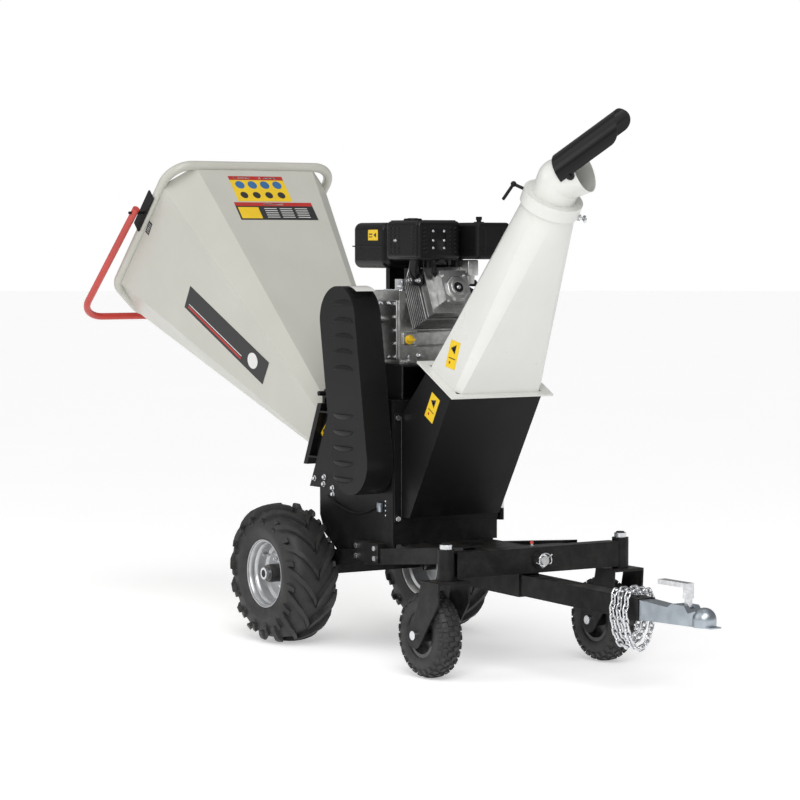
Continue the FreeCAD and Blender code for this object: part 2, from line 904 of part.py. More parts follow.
def safety_chain():
    """Loops of chain hung round the drawbar, each a closed ring of links."""
    wire = float(d.chain_wire)
    half = float(d.drawbar_half)
    pitch_most = float(d.chain_inner_length) - float(d.chain_slack)
    reach = half + float(d.chain_inner_width) / 2 + wire * 3
    links = []
    pattern = chain_link()
    for loop in range(int(d.chain_loops.value)):
        distance = d.chain_back_fwd + d.chain_loop_pitch * loop
        drop = float(d.chain_drop) - float(d.chain_drop_step) * (loop % 2)
        drawbar_fall = float(sine(d.drawbar_droop)) * float(distance - d.socket_front_fwd)
        top = float(up(d.drawbar_top_up)) - drawbar_fall
        path = hanging_loop(Vector(float(fwd(distance)), 0, top - half), reach, reach, drop)
        count = math.ceil(path.Length / pitch_most / 2) * 2
        joints = even_joints(path, count)
        for index, joint in enumerate(joints):
            after = joints[(index + 1) % count]
            along = (after - joint).normalize()
            lie = Vector(1, 0, 0)
            flat = lie if index % 2 else along.cross(lie).normalize()
            link = pattern.copy()
            link.Placement = Placement((joint + after) * 0.5, Rotation(along, Vector(), flat, "XZY"))
            links.append(link)
    part("safety_chain", solid_from(Part.makeCompound(links)))


def even_joints(path, count):
    """Points round a closed path whose neighbours are all the same straight distance apart."""
    trail = path.discretize(Number=count * 60 + 1)
    short, long = path.Length / count * 0.8, path.Length / count * 1.01
    while long - short > 0.01:
        pitch = (short + long) / 2
        joints = [trail[0]]
        for spot in trail:
            if (spot - joints[-1]).Length >= pitch:
                joints.append(spot)
        if len(joints) > count:
            short = pitch
        else:
            long = pitch
    return joints[:count]


def hanging_loop(middle, half_width, above, below):
    """An egg-shaped closed path in the plane across the drawbar."""
    top = Vector(0, 0, above)
    points = []
    steps = 24
    for step in range(steps):
        angle = math.tau * step / steps
        across = math.sin(angle) * half_width * (1.12 if math.cos(angle) < 0 else 1.0)
        rise = math.cos(angle) * (above if math.cos(angle) > 0 else below)
        if math.cos(angle) > 0:
            squared = max(abs(math.sin(angle)), abs(math.cos(angle)))
            across, rise = across / squared, rise / squared
            across = max(-half_width, min(half_width, across))
            rise = min(top.z, rise)
        points.append(middle + Vector(0, across, rise))
    curve = Part.BSplineCurve()
    curve.interpolate(points, PeriodicFlag=True)
    return Part.Wire(curve.toShape())


# ---- front beam and casters ------------------------------------------------------------------

def front_beam():
    back = fwd(d.wheelbase - d.beam_depth / 2)
    reach = d.caster_half_track - d.sleeve_radius + d.beam_wall / 4
    outside = box((back, -reach, up(d.beam_bottom_up)), (back + d.beam_depth, reach, up(d.beam_top_up)))
    wall = d.beam_wall
    inside = box((back + wall, -reach, up(d.beam_bottom_up + wall)),
                 (back + d.beam_depth - wall, reach, up(d.beam_top_up - wall)))
    boss_start = (back - d.pivot_boss_overhang, 0, up(d.pivot_up))
    boss_length = d.beam_depth + d.pivot_boss_overhang * 2
    boss = rod("x", boss_start, d.pivot_boss_radius, boss_length)
    bore = rod("x", boss_start, d.pivot_radius + d.running_gap, boss_length)
    sleeves = []
    sleeve_bores = []
    for _, sign in SIDES:
        start = (fwd(d.wheelbase), sign * d.caster_half_track, up(d.sleeve_bottom_up))
        length = d.sleeve_top_up - d.sleeve_bottom_up
        sleeves.append(tube("z", start, d.sleeve_radius, d.kingpin_radius + d.running_gap, length))
        sleeve_bores.append(rod("z", start, d.sleeve_radius, length))
    beam = cut(fuse(cut(outside, inside), boss), bore, *sleeve_bores)
    part("front_beam", fuse(beam, *sleeves))


def beam_pivot():
    start = fwd(d.cross_back_fwd)
    end = beam_face() + d.pivot_nut_width + d.pivot_thread_end
    pin = rod("x", (start, 0, up(d.pivot_up)), d.pivot_radius, end - start)
    part("beam_pivot_pin", pin)


def beam_face():
    """Where the pivot nut bears on the front beam's boss."""
    return fwd(d.wheelbase + d.beam_depth / 2) + d.pivot_boss_overhang + d.seat_gap


def beam_pivot_nut():
    face = beam_face()
    nut = doc.addObject("Part::Prism", "nut")
    nut.Polygon = 6
    bind(nut, Circumradius=d.pivot_nut_radius, Height=d.pivot_nut_width)
    place(nut, (face, 0, up(d.pivot_up)), (0, 1, 0), 90)
    hole = rod("x", (face, 0, up(d.pivot_up)), d.pivot_radius, d.pivot_nut_width)
    return cut(nut, hole)


def caster(side, sign):
    pin_x, pin_y = fwd(d.wheelbase), sign * d.caster_half_track
    crown_top = up(d.sleeve_bottom_up) - d.seat_gap
    crown_low = crown_top - d.fork_crown
    wheel_x = pin_x - d.caster_trail
    wheel_z = d.caster_radius
    inner, plate = d.fork_inner_half, d.fork_plate
    crown = box((pin_x - d.fork_back, pin_y - inner - plate, crown_low),
                (pin_x + d.fork_front, pin_y + inner + plate, crown_top))
    end = d.fork_end_radius
    profile = [
        (pin_x - d.fork_back, crown_low), (pin_x + d.fork_front, crown_low),
        (pin_x + d.fork_front - d.fork_toe, crown_low - d.fork_front_drop),
        (wheel_x + end * 0.8, wheel_z - end * 0.6), (wheel_x - end * 0.8, wheel_z + end * 0.6),
        (pin_x - d.fork_back - d.fork_rake, crown_low - d.fork_back_drop),
    ]
    cheeks = []
    for low in (pin_y - inner - plate, pin_y + inner):
        cheek = fuse(side_profile(profile, low, plate), rod("y", (wheel_x, low, wheel_z), end, plate))
        cheeks.append(cut(cheek, rod("y", (wheel_x, low, wheel_z), d.caster_bolt_radius, plate)))
    sleeve_length = d.sleeve_top_up - d.sleeve_bottom_up
    pin_length = sleeve_length + d.seat_gap * 2 + d.kingpin_nut_height + d.kingpin_thread_end
    kingpin = rod("z", (pin_x, pin_y, crown_top), d.kingpin_radius, pin_length)
    part("fork_" + side, fuse(crown, kingpin, *cheeks))
    nut_z = up(d.sleeve_top_up) + d.seat_gap
    nut = tube("z", (pin_x, pin_y, nut_z), d.kingpin_nut_radius, d.kingpin_radius, d.kingpin_nut_height)
    bolt_start = pin_y - inner - plate - d.bolt_head_height
    bolt_length = (inner + plate + d.bolt_head_height) * 2
    shank = rod("y", (wheel_x, bolt_start, wheel_z), d.caster_bolt_radius, bolt_length)
    heads = []
    for start in (bolt_start, pin_y + inner + plate):
        heads.append(rod("y", (wheel_x, start, wheel_z), d.caster_bolt_head_radius, d.bolt_head_height))
    part("caster_fasteners_" + side, group([nut, fuse(shank, *heads)]))
    caster_wheel(side, (wheel_x, pin_y, wheel_z))


def caster_wheel(side, middle):
    bead, lip = d.caster_bead_radius, d.caster_lip_radius
    half, wall = d.caster_rim_half_width, d.rim_wall
    profile = tyre_profile(d.caster_radius, d.caster_half_width, bead, lip, half - wall)
    part("caster_tyre_" + side, turned("y", profile, middle))
    hub = d.caster_hub_radius
    bore = d.caster_bolt_radius + d.running_gap
    reach = d.fork_inner_half - d.fork_hub_gap
    rim = [
        (-reach, bore), (-reach, hub), (-wall, hub), (-wall, bead - wall), (-half, bead - wall),
        (-half, lip), (wall - half, lip), (wall - half, bead), (half - wall, bead),
        (half - wall, lip), (half, lip), (half, bead - wall), (wall, bead - wall), (wall, hub),
        (reach, hub), (reach, bore),
    ]
    part("caster_rim_" + side, turned("y", rim, middle))


# ---- chipping housing ------------------------------------------------------------------------

drum_x, drum_z = fwd(d.drum_fwd), up(d.drum_up)
front_back = fwd(d.front_plate_fwd - d.front_plate_thickness)
plate_inner = d.side_plate_half - d.side_plate_thickness


def side_plate(sign):
    """One long side of the chipping housing, resting on its rail."""
    cheek_low = up(d.throat_bottom_up - d.housing_cheek_drop)
    profile = [
        (fwd(d.housing_curve_fwd), rail_top(d.housing_curve_fwd)),
        (front_back, rail_top(d.front_plate_fwd - d.front_plate_thickness)),
        (front_back, up(d.housing_top_up)),
        (fwd(d.throat_top_fwd + d.housing_roof_back), up(d.housing_top_up)),
        (fwd(d.throat_top_fwd + d.housing_shoulder_back), up(d.throat_top_up + d.housing_shoulder_rise)),
        (fwd(d.throat_bottom_fwd + d.housing_cheek_in), cheek_low), (fwd(d.housing_back_fwd), cheek_low),
        (fwd(d.housing_back_fwd), up(d.housing_heel_up)),
        (fwd(d.housing_back_fwd + d.housing_heel_cut), up(d.housing_heel_up - d.housing_heel_drop)),
    ]
    start = plate_inner if sign > 0 else -d.side_plate_half
    plate = side_profile(profile, start, d.side_plate_thickness)
    hole = rod("y", (drum_x, start, drum_z), d.drum_shaft_radius + d.shaft_hole_gap,
               d.side_plate_thickness)
    return cut(plate, hole)


def housing_plates():
    part("housing_plates", group([side_plate(sign) for _, sign in SIDES] + [front_plate()]))


def front_plate():
    half = d.front_plate_half
    plate = box((front_back, -half, up(d.front_plate_bottom_up)),
                (fwd(d.front_plate_fwd), half, up(d.housing_top_up)))
    inner = plate_inner - d.front_plate_thickness
    opening = box((front_back, -inner, up(d.duct_opening_bottom_up)),
                  (fwd(d.front_plate_fwd), inner, up(d.duct_opening_top_up)))
    return cut(plate, opening)


def drum_casing():
    """The curved shell round the drum with the infeed floor and roof that lead to it."""
    half = plate_inner
    start = (drum_x, -half, drum_z)
    shell = tube("y", start, d.casing_radius + d.casing_wall, d.casing_radius, half * 2)
    reach = d.casing_radius + d.casing_wall * 2
    front_gap = box((front_back - 1, -half, drum_z - reach), (drum_x + reach, half, drum_z + reach))
    floor_z = up(d.throat_bottom_up)
    roof_z = up(d.throat_top_up)
    feed_gap = box((drum_x - reach, -half, floor_z - d.throat_wall), (drum_x, half, roof_z + d.throat_wall))
    drum_space = rod("y", start, d.casing_radius, half * 2)
    floor = box((fwd(d.throat_bottom_fwd), -half, floor_z - d.throat_wall), (drum_x, half, floor_z))
    roof_back = fwd(d.throat_top_fwd) + throat_run / throat_rise * d.throat_wall
    roof = box((roof_back, -half, roof_z), (drum_x, half, roof_z + d.throat_wall))
    top = box((fwd(d.throat_top_fwd + d.housing_roof_back), -half, up(d.housing_top_up) - d.throat_wall),
              (front_back, half, up(d.housing_top_up)))
    sheets = cut(fuse(floor, roof), drum_space)
    casing = fuse(cut(shell, front_gap, feed_gap), sheets)
    part("drum_casing", group([casing, top] + infeed_cheeks()))


def infeed_cheeks():
    """Inner side walls that narrow the infeed to the hopper's throat."""
    cheeks = []
    for _, sign in SIDES:
        start = d.throat_half_width if sign > 0 else -d.throat_half_width - d.throat_wall
        end = d.drum_fwd - d.casing_radius - d.casing_wall * 2
        cheeks.append(side_profile([
            (fwd(d.throat_bottom_fwd), up(d.throat_bottom_up)), (fwd(end), up(d.throat_bottom_up)),
            (fwd(end), up(d.throat_top_up)), (fwd(d.throat_top_fwd), up(d.throat_top_up)),
        ], start, d.throat_wall))
    return cheeks


def bed_knife():
    """The fixed counter knife at the drum end of the infeed floor."""
    tip = drum_x - d.knife_tip_radius - d.bed_knife_gap
    top = up(d.throat_bottom_up)
    knife = box((tip - d.bed_knife_width, -d.drum_half_length, top),
                (tip, d.drum_half_length, top + d.bed_knife_thickness))
    part("bed_knife", knife)


throat_rise = d.throat_top_up - d.throat_bottom_up
throat_run = d.throat_top_fwd - d.throat_bottom_fwd


def throat_flange():
    """The sloping frame on the housing that the hopper closes against, with the fold pin."""
    frame = flange_frame(0, d.throat_depth, d.throat_border, 0)
    part("throat_flange", fuse(frame, hinge_pin()))


def flange_frame(offset, depth, border, lip):
    """A frame along the throat's slope: set back by an offset, with a lip that narrows its opening."""
    half = d.throat_half_width + border
    slope = throat_run / throat_rise
    low, high = d.throat_bottom_up - border, d.throat_top_up + border

    def edge(height, shift):
        return fwd(d.throat_bottom_fwd + slope * (height - d.throat_bottom_up) + shift - offset)

    def slab(bottom, top, near, far, side):
        return side_profile([
            (edge(bottom, near), up(bottom)), (edge(bottom, far), up(bottom)),
            (edge(top, far), up(top)), (edge(top, near), up(top)),
        ], -side, side * 2)

    outside = slab(low, high, -depth, 0, half)
    inside = slab(d.throat_bottom_up + lip, d.throat_top_up - lip, depth * -2, depth,
                  d.throat_half_width - lip)
    return cut(outside, inside)


def drum():
    half = d.drum_half_length
    core = rod("y", (drum_x, -half, drum_z), d.drum_radius, half * 2)
    bore = rod("y", (drum_x, -half, drum_z), d.drum_shaft_radius, half * 2)
    pockets = []
    knives = []
    near = d.drum_radius - d.drum_pocket_depth
    over = d.drum_radius + d.drum_pocket_over
    wide, blade, inset = d.drum_pocket_width, d.knife_thickness, d.knife_end_gap
    for turn in (0, 180):
        pocket = group([box((near, -half, -2), (over, half, wide))])
        knife = group([box((near, inset - half, 0), (d.knife_tip_radius, half - inset, blade))])
        pockets.append(place(pocket, (drum_x, 0, drum_z), (0, 1, 0), turn))
        knives.append(place(knife, (drum_x, 0, drum_z), (0, 1, 0), turn))
    part("drum_rotor", cut(core, bore, *pockets))
    part("drum_knives", group(knives))
    shaft_start = -d.guard_outer_half + d.guard_wall + d.pulley_shaft_gap
    shaft_end = d.side_plate_half + d.bearing_thickness + d.shaft_end
    shaft = rod("y", (drum_x, shaft_start, drum_z), d.drum_shaft_radius, shaft_end - shaft_start)
    part("drum_shaft", group([shaft, pulley(d.drum_pulley_radius, drum_x, drum_z, d.drum_shaft_radius)]))


def drum_bearings():
    bearings = []
    bore = d.drum_shaft_radius + d.running_gap
    for _, sign in SIDES:
        start = d.side_plate_half if sign > 0 else -d.side_plate_half - d.bearing_thickness
        bearings.append(tube("y", (drum_x, start, drum_z), d.bearing_radius, bore, d.bearing_thickness))
    part("drum_bearings", group(bearings))


def engine_stand():
    half = d.stand_half_width
    back, front = fwd(d.stand_back_fwd), front_back
    low, high = up(d.housing_top_up), up(d.engine_base_up)
    wall = d.stand_plate
    top = box((back, -half, high - wall), (front, half, high))
    rear = box((back, -half, low), (back + wall, half, high - wall))
    right = box((back + wall, -half, low), (front, wall - half, high - wall))
    left = box((back + wall, half - wall, low), (front, half, high - wall))
    part("engine_stand", fuse(top, rear, right, left))


# ---- belt drive ------------------------------------------------------------------------------

crank_x, crank_z = fwd(d.crank_fwd), up(d.crank_up)
belt_run = math.hypot(float(crank_x - drum_x), float(crank_z - drum_z))


def guard_stadium(radius, near, far):
    """A round-ended block about both pulley centres, from y = near to y = far."""
    ends = [rod("y", (x, near, z), radius, far - near) for x, z in ((drum_x, drum_z), (crank_x, crank_z))]
    rise, run = crank_z - drum_z, crank_x - drum_x
    across_x, across_z = rise / belt_run * radius, -run / belt_run * radius
    middle = side_profile([
        (drum_x - across_x, drum_z - across_z), (drum_x + across_x, drum_z + across_z),
        (crank_x + across_x, crank_z + across_z), (crank_x - across_x, crank_z - across_z),
    ], near, far - near)
    return fuse(*ends, middle)


def belt_guard():
    outer, inner = -d.guard_outer_half, -d.guard_inner_half
    shell = cut(guard_stadium(d.guard_radius, outer, inner),
                guard_stadium(d.guard_radius - d.guard_wall, outer + d.guard_wall, inner))
    part("belt_cover", shell)
    back = inner + d.seat_gap
    plate = guard_stadium(d.guard_radius, back, back + d.guard_wall)
    holes = []
    crank_clear = d.crank_radius + d.guard_crank_gap
    for x, z, radius in ((drum_x, drum_z, d.bearing_radius), (crank_x, crank_z, crank_clear)):
        holes.append(rod("y", (x, back, z), radius, d.guard_wall))
    spacers = []
    for height in (d.drum_up + d.guard_spacer_low, d.housing_top_up - d.guard_spacer_high):
        shift = (height - d.drum_up) * (d.crank_fwd - d.drum_fwd) / (d.crank_up - d.drum_up)
        centre = fwd(d.drum_fwd + shift)
        length = d.guard_inner_half - d.side_plate_half - d.guard_wall - d.seat_gap
        start = (centre, -d.side_plate_half - length, up(height))
        spacers.append(rod("y", start, d.guard_spacer_radius, length))
    part("belt_guard_back", fuse(cut(plate, *holes), *spacers))


def pulley(radius, x, z, bore):
    """A three-groove pulley centred on the belts."""
    half = d.pulley_half_width
    profile = [(-half, bore), (-half, radius)]
    for index in (-1, 0, 1):
        middle = index * d.belt_pitch
        mouth, root = d.belt_width / 2, d.belt_width / 2 - d.groove_root_inset
        profile += [(middle - mouth, radius), (middle - root, radius - d.belt_depth),
                    (middle + root, radius - d.belt_depth), (middle + mouth, radius)]
    profile += [(half, radius), (half, bore)]
    return turned("y", profile, (x, -d.belt_mid_width, z))


def belt_loop(index):
    """One V-belt as a flat-sided ring that clears both grooves."""
    depth_top = d.clutch_radius - d.belt_depth + d.belt_rise
    depth_low = d.drum_pulley_radius - d.belt_depth + d.belt_rise
    width = d.belt_width - d.belt_side_gap * 2
    near = d.belt_pitch * index - d.belt_mid_width - width / 2
    outer = racetrack(depth_top + d.belt_depth, depth_low + d.belt_depth, near, width)
    return cut(outer, racetrack(depth_top, depth_low, near, width))


def racetrack(top_radius, low_radius, near, width):
    ends = [rod("y", (drum_x, near, drum_z), low_radius, width),
            rod("y", (crank_x, near, crank_z), top_radius, width)]
    lean = math.asin(float(low_radius - top_radius) / belt_run)
    line = math.atan2(float(crank_z - drum_z), float(crank_x - drum_x))
    corners = []
    for sign, order in ((1, 1), (-1, -1)):
        angle = line + sign * (math.pi / 2 - lean)
        out_x, out_z = math.cos(angle), math.sin(angle)
        pair = [(drum_x + low_radius * out_x, drum_z + low_radius * out_z),
                (crank_x + top_radius * out_x, crank_z + top_radius * out_z)]
        corners += pair[::order]
    return fuse(*ends, side_profile(corners, near, width))


def belt_drive():
    part("drive_belts", group([belt_loop(index) for index in (-1, 0, 1)]))


# ---- engine ----------------------------------------------------------------------------------

def along_cylinder(distance, across):
    """A point beside the crank, out along the sloping cylinder and across it."""
    slope = d.cylinder_slope
    x = crank_x + cosine(slope) * distance - sine(slope) * across
    z = crank_z + sine(slope) * distance + cosine(slope) * across
    return x, z


def sloped_block(start, end, half, low_y, high_y):
    corners = [along_cylinder(start, -half), along_cylinder(end, -half),
               along_cylinder(end, half), along_cylinder(start, half)]
    return side_profile(corners, low_y, high_y - low_y)


def engine():
    base = up(d.engine_base_up)
    bottom = base + d.seat_gap
    case = box((fwd(d.crankcase_back_fwd), -d.crankcase_right, bottom),
               (fwd(d.crankcase_front_fwd), d.crankcase_left, up(d.crankcase_top_up)))
    bore_radius = d.crank_radius + d.running_gap
    crank_bore = rod("y", (crank_x, -d.crankcase_right, crank_z), bore_radius,
                     d.crankcase_right + d.crankcase_left)
    part("crankcase", cut(case, crank_bore))
    mid = d.engine_mid_width
    barrel_start = d.cylinder_start + d.barrel_step
    barrel = sloped_block(barrel_start, d.cylinder_end, d.cylinder_half, mid - d.cylinder_half,
                          mid + d.cylinder_half)
    fins = []
    for index in range(int(d.fin_count.value)):
        start = d.cylinder_start + d.fin_start + d.fin_pitch * index
        fins.append(sloped_block(start, start + d.fin_thickness, d.fin_half, mid - d.fin_half,
                                 mid + d.fin_half))
    clear = box((fwd(d.crankcase_back_fwd), -d.guard_outer_half, bottom),
                (fwd(d.crankcase_front_fwd) + d.seat_gap, d.guard_outer_half,
                 up(d.crankcase_top_up) + d.seat_gap))
    finned = cut(fuse(barrel, *fins), clear)
    head_half = d.fin_half - d.head_inset
    head = sloped_block(d.cylinder_end + d.seat_gap, d.head_end, head_half, mid - head_half, mid + head_half)
    part("cylinder", group([finned, head]))
    cover = sloped_block(d.head_end + d.seat_gap, d.rocker_end, d.rocker_half, mid - d.rocker_half,
                         mid + d.rocker_half)
    part("rocker_cover", cover)
    shaft_start = -d.guard_outer_half + d.guard_wall + d.pulley_shaft_gap
    shaft_length = d.crankcase_left + d.shaft_end - shaft_start
    shaft = rod("y", (crank_x, shaft_start, crank_z), d.crank_radius, shaft_length)
    part("crankshaft", group([shaft, pulley(d.clutch_radius, crank_x, crank_z, d.crank_radius)]))


def rounded(block, radius, edges=range(1, 13)):
    """A block with some or all of its edges rounded."""
    thing = doc.addObject("Part::Fillet", "rounded")
    thing.Base = block
    thing.Edges = [(index, float(radius), float(radius)) for index in edges]
    return thing


def engine_top():
    tank = box((fwd(d.tank_back_fwd), -d.tank_half_width, up(d.tank_bottom_up)),
               (fwd(d.tank_front_fwd), d.tank_half_width, up(d.tank_top_up)))
    lip = d.tank_lip
    seam = box((fwd(d.tank_back_fwd - lip), -d.tank_half_width - lip, up(d.tank_seam_up)),
               (fwd(d.tank_front_fwd + lip), d.tank_half_width + lip,
                up(d.tank_seam_up + d.tank_lip_height)))
    upright_edges = (1, 3, 5, 7)
    part("fuel_tank", fuse(rounded(tank, d.tank_round), rounded(seam, d.tank_lip_round, upright_edges)))
    cap_at = (fwd(d.tank_back_fwd + d.fuel_cap_forward), d.fuel_cap_left, up(d.tank_top_up) + d.seat_gap)
    part("engine_caps", group([rod("z", cap_at, d.fuel_cap_radius, d.fuel_cap_height), oil_cap()]))
    stays = []
    for distance in (d.tank_back_fwd + d.stay_back, d.tank_front_fwd - d.stay_front):
        stays.append(box((fwd(distance), -d.stay_half, up(d.crankcase_top_up) + d.seat_gap),
                         (fwd(distance + d.stay_depth), d.stay_half, up(d.tank_bottom_up) - d.seat_gap)))
    part("engine_pipes", group(stays + stub_pipes()))
    muffler = box((fwd(d.muffler_back_fwd), -d.muffler_right, up(d.muffler_bottom_up)),
                  (fwd(d.muffler_front_fwd), -d.muffler_left, up(d.muffler_top_up)))
    part("muffler", rounded(muffler, d.muffler_round))
    cleaner = box((fwd(d.cleaner_back_fwd), -d.cleaner_right, up(d.cleaner_bottom_up)),
                  (fwd(d.cleaner_front_fwd), d.cleaner_left, up(d.cleaner_top_up)))
    part("air_cleaner", rounded(cleaner, d.cleaner_round))


def stub_pipes():
    """The stub pipes that stand on the cylinder head under the muffler and the air cleaner."""
    half = d.fin_half - d.head_inset
    x, z = along_cylinder((d.cylinder_end + d.head_end) / 2, half)
    pipes = []
    for shift, radius, body_up in ((d.inlet_shift, d.inlet_radius, d.cleaner_bottom_up),
                                   (-d.outlet_shift, d.outlet_radius, d.muffler_bottom_up)):
        low = z - radius
        top = up(body_up) - d.seat_gap
        pipe = rod("z", (x, d.engine_mid_width + shift, low), radius, top - low)
        below = sloped_block(d.cylinder_start, d.rocker_end, half + d.seat_gap, -d.tank_half_width,
                             d.tank_half_width)
        pipes.append(cut(pipe, below))
    return pipes


def starter():
    """The blower housing, the starter's dish and the pull grip on its rope."""
    start = d.crankcase_left + d.seat_gap
    blower = tube("y", (crank_x, start, crank_z), d.blower_radius, d.crank_radius + d.starter_eye_gap,
                  d.blower_depth)
    face = start + d.blower_depth + d.seat_gap
    dish = rod("y", (crank_x, face, crank_z), d.starter_radius, d.starter_depth)
    rope_x, rope_y = crank_x + d.grip_offset_fwd, face + d.starter_depth / 2
    rope_low = crank_z + d.starter_radius * d.rope_depth
    rope_bore = d.rope_radius + d.running_gap
    guide = rod("z", (rope_x, rope_y, rope_low - d.seat_gap), rope_bore, d.starter_radius)
    part("recoil_starter", group([blower, cut(dish, guide)]))
    bar_radius = d.grip_bar_radius
    bar_z = crank_z + d.starter_radius + d.seat_gap + bar_radius
    bar = rod("x", (rope_x - d.grip_bar_length / 2, rope_y, bar_z), bar_radius, d.grip_bar_length)
    rope = rod("z", (rope_x, rope_y, rope_low), d.rope_radius, bar_z - rope_low)
    part("starter_grip", fuse(bar, rope))


def oil_cap():
    cap_up = d.engine_base_up + d.oil_cap_rise
    start = (fwd(d.crankcase_front_fwd) + d.seat_gap, -d.oil_cap_right, up(cap_up))
    return rod("x", start, d.oil_cap_radius, d.fuel_cap_height)


# ---- discharge door, tower and spout ---------------------------------------------------------

door_back = fwd(d.front_plate_fwd) + d.seat_gap


def on_tower_base(along, above):
    """A point in the plane of the tower's foot, along its slope and above it."""
    tilt = d.tower_base_tilt
    x = fwd(d.tower_base_fwd) + cosine(tilt) * along + sine(tilt) * above
    z = up(d.tower_base_up) - sine(tilt) * along + cosine(tilt) * above
    return x, z


def duct_profile(wall, overrun):
    """The duct's side outline; a wall shrinks it and an overrun opens its rear and its top."""
    lean = d.duct_lean
    back = door_back - overrun
    foot = fwd(d.front_plate_fwd + d.duct_foot) - wall / cosine(lean)
    below = -d.tower_flange_thickness - d.seat_gap + overrun
    rear_top = on_tower_base(-d.duct_mouth_back + wall * 1.1, below)
    front_top = on_tower_base(d.duct_mouth_front - wall * 1.1, below)
    low = up(d.duct_bottom_up) + wall
    knee = up(d.door_top_up - d.door_bolt_high) - wall * 2
    return [(back, low), (foot + tangent(lean) * wall, low), front_top, rear_top, (back, knee)]


def discharge_door():
    half = d.duct_half_width
    wall = d.duct_wall
    duct = cut(side_profile(duct_profile(0, 0), -half, half * 2),
               side_profile(duct_profile(wall, d.door_plate * 2), wall - half, (half - wall) * 2))
    reach = d.door_half_width
    flange = box((door_back, -reach, up(d.door_bottom_up)),
                 (door_back + d.door_plate, reach, up(d.door_top_up)))
    opening = box((door_back, wall - half, up(d.duct_bottom_up) + wall),
                  (door_back + d.door_plate, half - wall, up(d.door_top_up - d.door_sill)))
    part("discharge_duct", fuse(cut(flange, opening), duct))


def door_bolts():
    reach = d.door_half_width
    heads = []
    for height in (d.door_bottom_up + d.door_bolt_low, d.door_top_up - d.door_bolt_high):
        start = (door_back + d.door_plate, d.door_bolt_edge - reach, up(height))
        heads.append((start, 1))
    return bolt_heads("x", heads)


def door_hinges():
    """Two butt hinges on a vertical pin: fixed knuckles below, door knuckles above."""
    radius, pin = d.door_knuckle_radius, d.door_pin_radius
    height = d.door_knuckle_height
    axis_x, axis_y = fwd(d.front_plate_fwd), d.door_hinge_half
    fixed, moving = [], []
    leaf_face = d.side_plate_half + d.door_leaf_thickness
    leaf_end = axis_x - d.door_leaf_gap
    for base_up in (d.lower_hinge_up, d.upper_hinge_up):
        base = up(base_up)
        knuckle = rod("z", (axis_x, axis_y, base), radius, height)
        leaf = box((axis_x - d.door_leaf, d.side_plate_half, base), (leaf_end, leaf_face, base + height))
        bridge = box((axis_x - d.door_bridge, leaf_face, base), (leaf_end, axis_y, base + height))
        notch = box((front_back - 1, d.side_plate_half - 1, base - 1),
                    (axis_x + 1, d.front_plate_half + d.seat_gap, base + height + 1))
        bore = rod("z", (axis_x, axis_y, base), pin, height)
        body = cut(fuse(knuckle, leaf, bridge), notch, bore)
        fixed.append(fuse(body, rod("z", (axis_x, axis_y, base), pin, height * 2 + d.seat_gap)))
        high = base + height + d.seat_gap
        upper = rod("z", (axis_x, axis_y, high), radius, height)
        strap = box((door_back, d.door_half_width, high), (door_back + d.door_plate, axis_y, high + height))
        hole = rod("z", (axis_x, axis_y, high), pin + d.running_gap, height)
        moving.append(cut(fuse(upper, strap), hole))
    part("hinge_knuckles", group(fixed))
    part("door_fittings", group(moving + door_bolts()))


def tower_section(wall, lift):
    """The tower as a solid: a rectangular foot drawn out to a round top."""
    tilt = math.radians(float(d.tower_base_tilt))
    radius = float(d.neck_radius) - wall
    foot_back = float(d.tower_foot_back) - wall
    foot_front = float(d.tower_foot_front) - wall
    foot_half = float(d.tower_foot_half) - wall
    base_x, base_z = on_tower_base(0, 0)
    origin = Vector(float(base_x), 0, float(base_z))
    ahead = Vector(math.cos(tilt), 0, -math.sin(tilt))
    rise = Vector(math.sin(tilt), 0, math.cos(tilt))
    top = Placement(Vector(float(fwd(d.tower_top_fwd)), 0, float(up(d.tower_top_up))),
                    Rotation(Vector(0, 1, 0), float(d.tower_lean)))
    foot_points, head_points = [], []
    trim = float(d.tower_foot_facet)
    for index in range(8):
        angle = math.radians(22.5 + 45 * index)
        sign_x = 1 if math.cos(angle) > 0 else -1
        sign_y = 1 if math.sin(angle) > 0 else -1
        reach = foot_front if sign_x > 0 else foot_back
        beside = abs(math.cos(angle)) > abs(math.sin(angle))
        along = reach if beside else reach - trim
        across = foot_half - trim if beside else foot_half
        foot_points.append(origin + ahead * (sign_x * along) + Vector(0, sign_y * across, 0) - rise * lift)
        spot = Vector(radius * math.cos(angle), radius * math.sin(angle), lift)
        head_points.append(top.multVec(spot))
    foot = Part.makePolygon(foot_points + foot_points[:1])
    arcs = []
    for index in range(8):
        angle = math.radians(45 + 45 * index)
        crown = top.multVec(Vector(radius * math.cos(angle), radius * math.sin(angle), lift))
        arcs.append(Part.Arc(head_points[index], crown, head_points[(index + 1) % 8]).toShape())
    return Part.makeLoft([foot, Part.Wire(arcs)], True, True)


